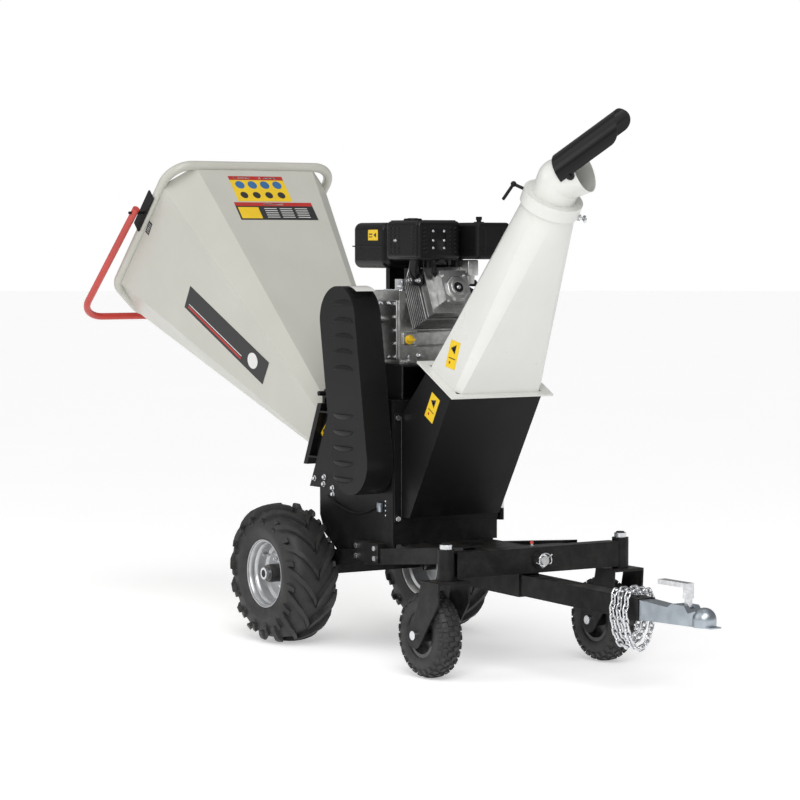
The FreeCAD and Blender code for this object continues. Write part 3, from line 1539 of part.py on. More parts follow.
def chute_tower():
    wall = float(d.tower_wall)
    shell = tower_section(0, 0).cut(tower_section(wall, 1.0))
    top = Placement(Vector(float(fwd(d.tower_top_fwd)), 0, float(up(d.tower_top_up))),
                    Rotation(Vector(0, 1, 0), float(d.tower_lean)))
    neck = Part.makeCylinder(float(d.neck_radius), float(d.neck_rise))
    neck = neck.cut(Part.makeCylinder(float(d.neck_radius) - wall, float(d.neck_rise)))
    neck.Placement = top
    back = float(d.tower_flange_length) / 2
    half = float(d.tower_flange_half)
    thick = float(d.tower_flange_thickness)
    flange = Part.makeBox(back * 2, half * 2, thick, Vector(-back, -half, -thick))
    inner_half = float(d.tower_foot_half) - wall
    hole = Part.makeBox(float(d.tower_foot_back + d.tower_foot_front) - wall * 2, inner_half * 2,
                        thick * 2, Vector(wall - float(d.tower_foot_back), -inner_half, -thick * 1.5))
    flange = flange.cut(hole)
    base_x, base_z = on_tower_base(0, 0)
    flange.Placement = Placement(Vector(float(base_x), 0, float(base_z)),
                                 Rotation(Vector(0, 1, 0), float(d.tower_base_tilt)))
    part("chute_tower", solid_from(shell.fuse([neck, flange])))


def on_tower_top(thing):
    """Seat a spout piece, built about z, on the tower's round top and turn it to the left."""
    lean = Rotation(Vector(0, 1, 0), float(d.tower_lean))
    turn = Rotation(Vector(0, 0, 1), float(d.spout_turn))
    thing.Placement = Placement(vector((fwd(d.tower_top_fwd), 0, up(d.tower_top_up))), lean * turn)
    return thing


def spout_pipe(radius, start, length):
    """A pipe solid that bends once: up from a start height, then over by the spout's bend."""
    knee = (0, 0, d.bend_rise)
    upright = rod("z", (0, 0, start), radius, d.bend_rise - start)
    leaning = doc.addObject("Part::Cylinder", "leaning")
    bind(leaning, Radius=radius, Height=length)
    place(leaning, knee, (0, 1, 0), d.spout_bend)
    return fuse(upright, ball(knee, radius), leaning)


def spout():
    """The turning collar and bent pipe, with holes for the deflector's pins."""
    bore = d.neck_radius + d.collar_gap
    step = d.neck_rise + d.seat_gap
    collar = tube("z", (0, 0, d.collar_base), d.collar_radius, bore, d.collar_height)
    shoulder = tube("z", (0, 0, step), d.collar_radius, d.spout_radius - d.spout_wall, d.spout_shoulder)
    outer = spout_pipe(d.spout_radius, step, d.spout_length)
    inner = spout_pipe(d.spout_radius - d.spout_wall, 0, d.spout_length * 1.2)
    pivot_x, _, pivot_z = flap_pivot()
    pin_hole = rod("y", (pivot_x, -d.spout_radius, pivot_z), d.flap_pin_radius + d.running_gap,
                   d.spout_radius * 2)
    part("spout", on_tower_top(fuse(collar, cut(fuse(shoulder, outer), inner, pin_hole))))


def clamp_lever():
    """The collar's clamp screw with its bent handle."""
    middle = d.collar_base + d.collar_height / 2
    end = -d.collar_radius - d.lever_stud
    stud = rod("x", (end, 0, middle), d.lever_radius, d.lever_stud)
    arm = doc.addObject("Part::Cylinder", "arm")
    bind(arm, Radius=d.lever_radius, Height=d.lever_length)
    place(arm, (end, 0, middle), (0, -1, 0), d.lever_lean)
    knob = ball((end, 0, middle), d.lever_radius * 1.8)
    part("clamp_lever", on_tower_top(fuse(stud, arm, knob)))


def flap():
    """The half-pipe deflector and its pivot pins, tilted a little over the spout's mouth."""
    wall = d.spout_wall
    bottom = -d.flap_tail
    top = d.flap_length - d.flap_tail
    outer = rod("z", (0, 0, bottom), d.flap_radius + wall, d.flap_length)
    inner = rod("z", (0, 0, bottom), d.flap_radius, d.flap_length)
    reach = d.flap_radius * 2
    round_x, round_z = -d.flap_corner, top - d.flap_corner
    corner = cut(box((round_x, -reach, round_z), (0, reach, top)),
                 rod("y", (round_x, -reach, round_z), d.flap_corner, reach * 2))
    half_pipe = cut(outer, inner, box((0, -reach, bottom), (reach, reach, top)), corner)
    pin_end = d.flap_radius + wall + d.flap_pin_overhang
    pin_length = pin_end - d.spout_radius + d.spout_wall * 2
    pins = []
    bosses = []
    for _, sign in SIDES:
        pin_start = pin_end - pin_length if sign > 0 else -pin_end
        pins.append(rod("y", (0, pin_start, 0), d.flap_pin_radius, pin_length))
        near = d.flap_radius if sign > 0 else -d.flap_radius - wall
        bosses.append(rod("y", (0, near, 0), d.flap_boss_radius, wall))
    body = fuse(half_pipe, *bosses, *pins)
    tilted = place(body, (0, 0, 0), (0, -1, 0), d.flap_tilt)
    seated = place(group([tilted]), flap_pivot(), (0, 1, 0), d.spout_bend)
    part("deflector", on_tower_top(group([seated])))


def flap_pivot():
    """Centre of the deflector's tilt, a little above the middle of the bent pipe near its mouth."""
    reach, rise = d.flap_pivot_reach, d.flap_pivot_rise
    x = sine(d.spout_bend) * reach - cosine(d.spout_bend) * rise
    z = d.bend_rise + cosine(d.spout_bend) * reach + sine(d.spout_bend) * rise
    return x, 0, z


# ---- feed hopper and control bar -------------------------------------------------------------

def at_mouth(across, down, out=0.0):
    """A point in the mouth's plane: across the machine, down its slope, and out of the mouth."""
    slant = math.radians(float(d.mouth_slant))
    x = float(fwd(d.mouth_top_fwd)) - down * math.cos(slant) - out * math.sin(slant)
    z = float(up(d.mouth_top_up)) - down * math.sin(slant) + out * math.cos(slant)
    return Vector(x, across, z)


def at_throat(across, rise, out=0.0):
    """A point in the throat's plane: across the machine and up its slope from the sill."""
    run, climb = float(throat_run), float(throat_rise)
    length = math.hypot(run, climb)
    x = float(fwd(d.throat_bottom_fwd)) + run / length * rise - climb / length * out
    z = float(up(d.throat_bottom_up)) + climb / length * rise + run / length * out
    return Vector(x, across, z)


def hopper_skin(inset, overrun):
    """The hopper as a solid between its eight-sided mouth and its throat."""
    half = float(d.hopper_half_width) - inset
    facet = float(d.hopper_top_facet)
    top = float(d.hopper_top_drop) + inset
    side_end = float(d.hopper_side_end)
    foot_half = float(d.hopper_foot_half) - inset
    foot = float(d.hopper_foot_drop) - inset
    mouth = [(foot_half, foot), (half, side_end), (half, top + facet), (half - facet, top)]
    mouth = mouth + [(-across, down) for across, down in reversed(mouth)]
    mouth_points = [at_mouth(across, down, overrun) for across, down in mouth]
    width = float(d.throat_half_width) - inset
    height = math.hypot(float(throat_run), float(throat_rise)) - inset
    trim = float(d.throat_facet)
    throat = [(width - trim, inset), (width, inset + trim), (width, height - trim), (width - trim, height)]
    throat = throat + [(-across, rise) for across, rise in reversed(throat)]
    start = float(hopper_gap)
    throat_points = [at_throat(across, rise, start - overrun) for across, rise in throat]
    wires = [Part.makePolygon(points + points[:1]) for points in (throat_points, mouth_points)]
    return Part.makeLoft(wires, True, True)


throat_slope = math.degrees(math.atan2(float(throat_run), float(throat_rise)))
hopper_gap = (d.throat_depth + d.seat_gap + d.hopper_flange_depth) * cosine(throat_slope) + d.seat_gap


def hopper():
    wall = float(d.hopper_wall)
    shell = hopper_skin(0, 0).cut(hopper_skin(wall, 1.0))
    hoop_radius = float(d.hoop_radius)
    part("hopper_shell", solid_from(shell.cut(hoop_tube(hoop_radius + float(d.seat_gap)))))
    part("hopper_hoop", solid_from(hoop_tube(hoop_radius)))


def bend(before, here, after, radius):
    """The start, crown and end of a tangent arc that rounds one corner."""
    back = (before - here).normalize()
    ahead = (after - here).normalize()
    turn = math.pi - back.getAngle(ahead)
    run = radius * math.tan(turn / 2)
    bisector = (back + ahead).normalize()
    centre = here + bisector * (radius / math.cos(turn / 2))
    return here + back * run, centre - bisector * radius, here + ahead * run


def rounded_path(points, radius):
    """A closed chain of straight runs joined by tangent arcs."""
    count = len(points)
    bends = [bend(points[index - 1], points[index], points[(index + 1) % count], radius)
             for index in range(count)]
    edges = []
    for index, (start, crown, finish) in enumerate(bends):
        edges.append(Part.Arc(start, crown, finish).toShape())
        edges.append(Part.LineSegment(finish, bends[(index + 1) % count][0]).toShape())
    return edges


def hoop_tube(bar_radius):
    """The round bar bent round the hopper's mouth."""
    half = float(d.hoop_half_width)
    inset = float(d.hoop_radius)
    foot = float(d.mouth_length) - inset
    corners = [(half, inset), (half, float(d.hoop_side_end)), (float(d.hoop_foot_half), foot)]
    corners = corners + [(-across, down) for across, down in reversed(corners)]
    points = [at_mouth(across, down) for across, down in corners]
    return swept(rounded_path(points, float(d.hoop_corner)), bar_radius)


def swept(edges, radius):
    """A round bar along a chain of tangent edges, one swept solid fused from its spans."""
    wire = Part.Wire(edges)
    first = wire.Edges[0]
    start = first.valueAt(first.FirstParameter)
    way = first.tangentAt(first.FirstParameter)
    ring = Part.Wire(Part.makeCircle(radius, start, way))
    return wire.makePipeShell([ring], True, False)


def control_bar():
    """The U-shaped bar that reaches round the mouth and hangs from two pivots on the hopper."""
    half = float(d.bar_half_width)
    top = Vector(float(fwd(d.bar_pivot_fwd)), 0, float(up(d.bar_pivot_up)))
    foot = Vector(float(fwd(d.bar_foot_fwd)), 0, float(up(d.bar_foot_up)))
    side = Vector(0, half, 0)
    past = (top - foot).normalize() * float(d.bar_end)
    corners = [top - side + past, foot - side, foot + side, top + side + past]
    first = bend(corners[0], corners[1], corners[2], float(d.bar_bend))
    second = bend(corners[1], corners[2], corners[3], float(d.bar_bend))
    edges = [
        Part.LineSegment(corners[0], first[0]).toShape(), Part.Arc(*first).toShape(),
        Part.LineSegment(first[2], second[0]).toShape(), Part.Arc(*second).toShape(),
        Part.LineSegment(second[2], corners[3]).toShape(),
    ]
    bar = swept(edges, float(d.bar_radius))
    bore_radius = float(d.bar_bolt_radius + d.running_gap)
    bore = Part.makeCylinder(bore_radius, half * 3, top - side * 1.5, Vector(0, 1, 0))
    part("control_bar", solid_from(bar.cut(bore)))


def bar_brackets():
    """Plates on the hoop's outer sides that carry the control bar's pivot bolts."""
    brackets = []
    x, z = fwd(d.bar_pivot_fwd), up(d.bar_pivot_up)
    thick = d.bar_bracket_thickness
    inner = d.hoop_half_width + d.hoop_radius
    outer = d.bar_half_width + d.bar_radius + d.bar_bolt_overhang
    for _, sign in SIDES:
        low = inner if sign > 0 else -inner - thick
        plate = box((-d.bar_bracket_back, 0, -d.bar_bracket_half),
                    (d.bar_bracket_front, thick, d.bar_bracket_half))
        seated = place(group([plate]), (x, low, z), (0, -1, 0), d.mouth_slant)
        bolt_start = inner if sign > 0 else -outer
        brackets.append(fuse(seated, rod("y", (x, bolt_start, z), d.bar_bolt_radius, outer - inner)))
    part("bar_brackets", group(brackets))


def bar_brackets():
    """Plates on the hoop's outer sides that carry the control bar's pivot bolts."""
    brackets = []
    x, z = fwd(d.bar_pivot_fwd), up(d.bar_pivot_up)
    slant = d.mouth_slant
    for _, sign in SIDES:
        inner = d.hoop_half_width + d.hoop_radius
        thick = 6
        low = inner if sign > 0 else -inner - thick
        wide = 22
        turned_plate = place(group([place_box(-70, 90, thick, wide)]), (x, low, z), (0, -1, 0), slant)
        bolt_start = inner + thick if sign > 0 else -d.bar_half_width - d.bar_radius - 8
        length = d.bar_half_width + d.bar_radius + 8 - inner - thick
        bolt = rod("y", (x, bolt_start, z), 5, length)
        brackets.append(fuse(turned_plate, bolt))
    part("bar_brackets", group(brackets))


def place_box(start, end, thick, wide):
    """A flat plate along local x, standing on y = 0."""
    return box((start, 0, -wide), (end, thick, wide))


def hopper_flange():
    """The hopper's own frame at the throat, with the hinge eyes along its top edge."""
    frame = flange_frame(d.throat_depth + d.seat_gap, d.hopper_flange_depth, d.hopper_flange_border,
                         d.hopper_wall)
    part("hopper_flange", fuse(frame, *hopper_eyes()))


def hinge_pin():
    """The fixed pin and lugs of the hopper's hinge."""
    pivot_x, pivot_z = hopper_pivot()
    end = d.throat_half_width + d.hopper_pin_overhang
    pin = rod("y", (pivot_x, -end, pivot_z), d.hopper_pin_radius, end * 2)
    lugs = []
    for _, sign in SIDES:
        low = sign * d.hopper_lug_half - d.hopper_eye_width / 2
        high = low + d.hopper_eye_width
        back, front = pivot_x + d.throat_wall / 2, pivot_x + d.hopper_strap_depth
        foot = box((back, low, pivot_z - d.hopper_strap_drop), (front, high, pivot_z))
        lugs.append(fuse(rod("y", (pivot_x, low, pivot_z), d.hopper_eye_radius, d.hopper_eye_width), foot))
    return fuse(pin, *lugs)


def hopper_eyes():
    pivot_x, pivot_z = hopper_pivot()
    eyes = []
    for _, sign in SIDES:
        low = sign * d.hopper_eye_half - d.hopper_eye_width / 2
        high = low + d.hopper_eye_width
        back, front = pivot_x - d.hopper_strap_depth - 2, pivot_x - d.throat_wall - 1
        strap = box((back, low, pivot_z - d.hopper_strap_drop), (front, high, pivot_z))
        eye = fuse(rod("y", (pivot_x, low, pivot_z), d.hopper_eye_radius, d.hopper_eye_width), strap)
        bore_radius = d.hopper_pin_radius + d.running_gap
        eyes.append(cut(eye, rod("y", (pivot_x, low, pivot_z), bore_radius, d.hopper_eye_width)))
    return eyes


def hopper_pivot():
    """Centre of the hopper's fold, just above the throat flange."""
    return fwd(d.throat_top_fwd - d.hopper_pivot_back), up(d.throat_top_up + d.hopper_pivot_rise)


# ---- build and write -------------------------------------------------------------------------

def build():
    for side, sign in SIDES:
        rear_wheel(side, sign)
    side_rails()
    rear_axle()
    deck()
    crossmember()
    frame_brackets()
    frame_bolts()
    drawbar()
    coupler()
    coupler_handle()
    safety_chain()
    front_beam()
    beam_pivot()
    for side, sign in SIDES:
        caster(side, sign)
    housing_plates()
    drum_casing()
    bed_knife()
    throat_flange()
    drum()
    drum_bearings()
    engine_stand()
    belt_guard()
    belt_drive()
    engine()
    engine_top()
    starter()
    discharge_door()
    door_hinges()
    chute_tower()
    spout()
    clamp_lever()
    flap()
    hopper()
    hopper_flange()
    control_bar()
    bar_brackets()
    doc.recompute()


def check_and_write():
    for thing in doc.Objects:
        for state in ("Invalid", "Error"):
            if state in thing.State:
                raise RuntimeError(f"{thing.Label} ({thing.Name}) failed: {thing.State}")
    for thing in parts:
        if thing.Shape.isNull() or not thing.Shape.isValid():
            raise RuntimeError(f"{thing.Label} has no valid shape")
        if not thing.Shape.Solids:
            raise RuntimeError(f"{thing.Label} has no solid")
    os.makedirs("parts", exist_ok=True)
    for thing in parts:
        thing.Shape.exportStep(os.path.join("parts", thing.Label + ".step"))
    print(len(parts), "sub-parts written")


build()
check_and_write()
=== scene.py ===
"""Wood chipper on its towing frame: the studio, the finishes and the fine parts."""
import math

import bmesh
import bpy
from mathutils import Matrix, Vector
from mathutils.bvhtree import BVHTree


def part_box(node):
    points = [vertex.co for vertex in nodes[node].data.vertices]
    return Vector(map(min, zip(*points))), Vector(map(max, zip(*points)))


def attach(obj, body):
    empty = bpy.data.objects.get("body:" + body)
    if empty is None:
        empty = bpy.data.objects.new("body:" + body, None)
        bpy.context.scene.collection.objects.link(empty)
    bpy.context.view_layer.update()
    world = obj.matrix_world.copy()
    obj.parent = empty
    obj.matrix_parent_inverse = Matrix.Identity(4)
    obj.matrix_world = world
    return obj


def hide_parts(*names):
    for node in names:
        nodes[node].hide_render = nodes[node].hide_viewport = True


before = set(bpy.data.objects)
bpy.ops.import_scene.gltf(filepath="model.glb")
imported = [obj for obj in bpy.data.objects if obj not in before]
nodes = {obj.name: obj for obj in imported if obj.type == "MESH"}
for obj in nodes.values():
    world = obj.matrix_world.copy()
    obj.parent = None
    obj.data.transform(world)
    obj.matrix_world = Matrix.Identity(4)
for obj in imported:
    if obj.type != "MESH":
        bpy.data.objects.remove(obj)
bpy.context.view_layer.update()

FLOAT = "NodeSocketFloat"
COLOUR = "NodeSocketColor"
VECTOR = "NodeSocketVector"


# ---------------------------------------------------------------- studio

def make_studio():
    """A plain pale floor, even soft light and the camera."""
    scene = bpy.context.scene
    scene.view_settings.view_transform = "Standard"
    view = bpy.data.cameras.new("studio_camera")
    view.lens = 125.35
    view.sensor_width = 36.0
    view.clip_end = 200.0
    camera = bpy.data.objects.new("studio_camera", view)
    camera.location = (7.6150, -4.9288, 1.3055)
    camera.rotation_euler = Vector((-0.8390, 0.5412, -0.0557)).to_track_quat("-Z", "Y").to_euler()
    scene.collection.objects.link(camera)
    scene.camera = camera
    form = bmesh.new()
    bmesh.ops.create_circle(form, cap_ends=True, segments=64, radius=70.0)
    floor = piece_from(form, "studio_floor", floor_material())
    for name, turn, lean, power, spread in (("key", 66, 48, 1.08, 40), ("fill", -25, 35, 0.6, 60)):
        lamp = bpy.data.lights.new(name, "SUN")
        lamp.energy = power
        lamp.angle = math.radians(spread)
        sun = bpy.data.objects.new(name, lamp)
        aim = Vector((math.cos(math.radians(turn - 90)) * math.cos(math.radians(lean)),
                      math.sin(math.radians(turn - 90)) * math.cos(math.radians(lean)),
                      math.sin(math.radians(lean))))
        sun.rotation_euler = aim.to_track_quat("Z", "Y").to_euler()
        scene.collection.objects.link(sun)
    for name, place, size, power in (("front_box", (4.2, -3.0, 2.6), 2.0, 75.0),
                                     ("side_box", (-1.5, -4.6, 2.6), 2.0, 14.0),
                                     ("top_box", (0.4, 0.6, 5.0), 3.0, 16.0)):
        lamp = bpy.data.lights.new(name, "AREA")
        lamp.energy = power
        lamp.size = size
        box = bpy.data.objects.new(name, lamp)
        box.location = place
        aim = Vector(place) - Vector((0.1, 0.0, 0.7))
        box.rotation_euler = aim.to_track_quat("Z", "Y").to_euler()
        scene.collection.objects.link(box)
    make_sky()


def make_sky():
    """White behind the object, and a softer white for the light it gives."""
    world = bpy.data.worlds.new("studio_sky")
    world.use_nodes = True
    bpy.context.scene.world = world
    tree = world.node_tree
    tree.nodes.clear()
    seen = add(tree, "ShaderNodeLightPath").outputs["Is Camera Ray"]
    level = add(tree, "ShaderNodeMapRange", {"Value": seen, "To Min": 0.26, "To Max": 1.0})
    back = add(tree, "ShaderNodeBackground", {"Color": (1, 1, 1, 1), "Strength": level.outputs[0]})
    add(tree, "ShaderNodeOutputWorld", {"Surface": back.outputs[0]})


# ---------------------------------------------------------------- node helpers

def add(tree, kind, links=None, **settings):
    """A new node with its settings, its inputs linked or given their values."""
    made = tree.nodes.new(kind)
    for key, value in settings.items():
        setattr(made, key, value)
    for socket, value in (links or {}).items():
        if isinstance(value, bpy.types.NodeSocket):
            tree.links.new(value, made.inputs[socket])
        else:
            made.inputs[socket].default_value = value
    return made


def mix_colour(tree, mask, low, high):
    """A colour that goes from low to high with the mask."""
    made = add(tree, "ShaderNodeMix", data_type="RGBA")
    for index, value in ((0, mask), (6, low), (7, high)):
        if isinstance(value, bpy.types.NodeSocket):
            tree.links.new(value, made.inputs[index])
        elif index:
            made.inputs[index].default_value = (*value, 1.0)
        else:
            made.inputs[index].default_value = value
    return made.outputs[2]


def spread(tree, value, low, high, start=0.0, end=1.0):
    """The value stretched from start...end to low...high."""
    links = {"Value": value, "From Min": start, "From Max": end, "To Min": low, "To Max": high}
    return add(tree, "ShaderNodeMapRange", links).outputs[0]


def times(tree, one, two):
    """Two values multiplied."""
    return add(tree, "ShaderNodeMath", {0: one, 1: two}, operation="MULTIPLY").outputs[0]


def new_group(name, inputs, outputs):
    """An empty shader group with its named sockets."""
    tree = bpy.data.node_groups.new(name, "ShaderNodeTree")
    for label, kind, value in inputs:
        socket = tree.interface.new_socket(label, in_out="INPUT", socket_type=kind)
        socket.default_value = value
    for label, kind in outputs:
        tree.interface.new_socket(label, in_out="OUTPUT", socket_type=kind)
    return tree, tree.nodes.new("NodeGroupInput").outputs, tree.nodes.new("NodeGroupOutput").inputs


# ---------------------------------------------------------------- shared effects

def grain_group():
    """Fine grain for a bump and a slow change of tone over the surface."""
    tree, given, out = new_group("Grain", [("Fine", FLOAT, 700.0), ("Broad", FLOAT, 5.0)],
                                 [("Height", FLOAT), ("Tone", FLOAT)])
    place = add(tree, "ShaderNodeTexCoord").outputs["Object"]
    fine = add(tree, "ShaderNodeTexNoise", {"Vector": place, "Scale": given["Fine"], "Detail": 3.0})
    broad = add(tree, "ShaderNodeTexNoise",
                {"Vector": place, "Scale": given["Broad"], "Detail": 6.0, "Roughness": 0.62})
    tree.links.new(fine.outputs["Fac"], out["Height"])
    tree.links.new(spread(tree, broad.outputs["Fac"], 0.0, 1.0, 0.3, 0.7), out["Tone"])
    return tree


def edge_group():
    """Softened edges, and a broken mask along them: coat wear on light coats, painted highlight on black
    ones.
    """
    tree, given, out = new_group("Worn and highlit edges", [("Radius", FLOAT, 0.0015), ("Breaks", FLOAT, 90.0)],
                                 [("Normal", VECTOR), ("Wear and highlight", FLOAT)])
    soft = add(tree, "ShaderNodeBevel", {"Radius": given["Radius"]}, samples=4)
    flat = add(tree, "ShaderNodeNewGeometry").outputs["Normal"]
    same = add(tree, "ShaderNodeVectorMath", {0: soft.outputs[0], 1: flat}, operation="DOT_PRODUCT")
    edge = spread(tree, same.outputs["Value"], 1.0, 0.0, 0.86, 0.985)
    place = add(tree, "ShaderNodeTexCoord").outputs["Object"]
    noise = add(tree, "ShaderNodeTexNoise", {"Vector": place, "Scale": given["Breaks"], "Detail": 5.0})
    broken = spread(tree, noise.outputs["Fac"], 0.0, 1.0, 0.46, 0.66)
    tree.links.new(soft.outputs[0], out["Normal"])
    tree.links.new(times(tree, edge, broken), out["Wear and highlight"])
    return tree


def dust_group():
    """Dry dust that lies thicker near the ground and on faces that look up."""
    tree, given, out = new_group("Dust", [("Top", FLOAT, 0.5), ("Amount", FLOAT, 0.4)], [("Mask", FLOAT)])
    place = add(tree, "ShaderNodeTexCoord").outputs["Object"]
    height = add(tree, "ShaderNodeSeparateXYZ", {"Vector": place}).outputs["Z"]
    low = add(tree, "ShaderNodeMapRange",
              {"Value": height, "From Min": given["Top"], "From Max": 0.0, "To Min": 0.0, "To Max": 1.0})
    face = add(tree, "ShaderNodeSeparateXYZ",
               {"Vector": add(tree, "ShaderNodeNewGeometry").outputs["Normal"]}).outputs["Z"]
    upward = spread(tree, face, 0.25, 1.0, 0.2, 0.95)
    noise = add(tree, "ShaderNodeTexNoise", {"Vector": place, "Scale": 24.0, "Detail": 8.0, "Roughness": 0.7})
    patches = spread(tree, noise.outputs["Fac"], 0.0, 1.0, 0.42, 0.72)
    mask = times(tree, times(tree, low.outputs[0], upward), patches)
    tree.links.new(times(tree, mask, given["Amount"]), out["Mask"])
    return tree


def brush_group():
    """Streaks drawn along one way of the metal, for tone and bump."""
    inputs = [("Stretch", VECTOR, (40.0, 900.0, 900.0)), ("Blotch", FLOAT, 30.0)]
    tree, given, out = new_group("Streaks", inputs, [("Height", FLOAT), ("Tone", FLOAT)])
    place = add(tree, "ShaderNodeTexCoord").outputs["Object"]
    drawn = add(tree, "ShaderNodeVectorMath", {0: place, 1: given["Stretch"]}, operation="MULTIPLY")
    streak = add(tree, "ShaderNodeTexNoise", {"Vector": drawn.outputs[0], "Scale": 1.0, "Detail": 3.0})
    blotch = add(tree, "ShaderNodeTexNoise", {"Vector": place, "Scale": given["Blotch"], "Detail": 6.0})
    tree.links.new(streak.outputs["Fac"], out["Height"])
    both = times(tree, spread(tree, streak.outputs["Fac"], 0.7, 1.0, 0.3, 0.7),
                 spread(tree, blotch.outputs["Fac"], 0.5, 1.0, 0.35, 0.65))
    tree.links.new(both, out["Tone"])
    return tree


GRAIN = grain_group()
EDGES = edge_group()
DUST = dust_group()
STREAKS = brush_group()


def use(tree, group, **inputs):
    """A shared effect placed in a material with its own values."""
    made = tree.nodes.new("ShaderNodeGroup")
    made.node_tree = group
    for label, value in inputs.items():
        made.inputs[label].default_value = value
    return made.outputs


def start_material(name, **shader_values):
    """A material with only its Principled shader, and the shader's constant values."""
    material = bpy.data.materials.new(name)
    material.use_nodes = True
    tree = material.node_tree
    tree.nodes.clear()
    labels = {key.replace("_", " ").title(): value for key, value in shader_values.items()}
    labels = {key.replace("Ior", "IOR"): value for key, value in labels.items()}
    shader = add(tree, "ShaderNodeBsdfPrincipled", labels)
    add(tree, "ShaderNodeOutputMaterial", {"Surface": shader.outputs[0]})
    return material, tree, shader


def bump(tree, shader, height, strength, depth, normal=None):
    """A bump on the shader's normal."""
    links = {"Height": height, "Strength": strength, "Distance": depth}
    if normal is not None:
        links["Normal"] = normal
    made = add(tree, "ShaderNodeBump", links)
    tree.links.new(made.outputs[0], shader.inputs["Normal"])


def floor_material():
    material, tree, shader = start_material("studio_floor", roughness=0.95, specular_ior_level=0.1,
                                            emission_color=(1.0, 1.0, 1.0, 1.0), emission_strength=0.42)
    grain = use(tree, GRAIN, Fine=60.0, Broad=0.6)
    tree.links.new(mix_colour(tree, grain["Tone"], (0.86, 0.86, 0.86), (0.88, 0.88, 0.88)),
                   shader.inputs["Base Color"])
    return material


def coated(name, colour, deep, worn, rough, fine=700.0, depth=0.00006, edge=0.0015, dust=0.35, **values):
    """Paint or powder coat with orange peel, a change of tone, an edge colour that is wear on light coats and
    painted highlight on black ones, and dust low down.
    """
    material, tree, shader = start_material(name, **values)
    grain = use(tree, GRAIN, Fine=fine, Broad=4.0)
    edges = use(tree, EDGES, Radius=edge, Breaks=70.0)
    dusty = use(tree, DUST, Top=0.62, Amount=dust)
    tone = mix_colour(tree, grain["Tone"], deep, colour)
    # The edge colour mixed in here is painted highlight on the black coats and darker wear on the light ones.
    wear_and_highlight_tone = mix_colour(tree, edges["Wear and highlight"], tone, worn)
    tree.links.new(mix_colour(tree, dusty["Mask"], wear_and_highlight_tone, (0.34, 0.31, 0.27)), shader.inputs["Base Color"])
    tree.links.new(spread(tree, grain["Tone"], rough + 0.05, rough - 0.05), shader.inputs["Roughness"])
    bump(tree, shader, grain["Height"], 0.5, depth, edges["Normal"])
    return material


def metal(name, bright, dull, rough, stretch, blotch=30.0, depth=0.00004, edge=0.0008, **values):
    """Bare or plated metal with drawn streaks and cloudy patches."""
    material, tree, shader = start_material(name, metallic=1.0, **values)
    streaks = use(tree, STREAKS, Stretch=stretch, Blotch=blotch)
    edges = use(tree, EDGES, Radius=edge, Breaks=120.0)
    tree.links.new(mix_colour(tree, streaks["Tone"], dull, bright), shader.inputs["Base Color"])
    tree.links.new(spread(tree, streaks["Tone"], rough + 0.14, rough - 0.06), shader.inputs["Roughness"])
    bump(tree, shader, streaks["Height"], 0.35, depth, edges["Normal"])
    return material


def moulded(name, colour, deep, rough, fine, depth, edge=0.001, dust=0.5, **values):
    """Rubber or plastic with a moulded grain, greyer where it is dusty."""
    material, tree, shader = start_material(name, **values)
    grain = use(tree, GRAIN, Fine=fine, Broad=9.0)
    edges = use(tree, EDGES, Radius=edge, Breaks=60.0)
    dusty = use(tree, DUST, Top=0.7, Amount=dust)
    tone = mix_colour(tree, grain["Tone"], deep, colour)
    tree.links.new(mix_colour(tree, dusty["Mask"], tone, (0.16, 0.15, 0.135)), shader.inputs["Base Color"])
    tree.links.new(spread(tree, grain["Tone"], rough + 0.08, rough - 0.08), shader.inputs["Roughness"])
    bump(tree, shader, grain["Height"], 0.6, depth, edges["Normal"])
    return material


def printed(name, colour, deep):
    """Smooth printed film of a label."""
    return moulded(name, colour, deep, 0.35, 400.0, 0.00002, dust=0.0)


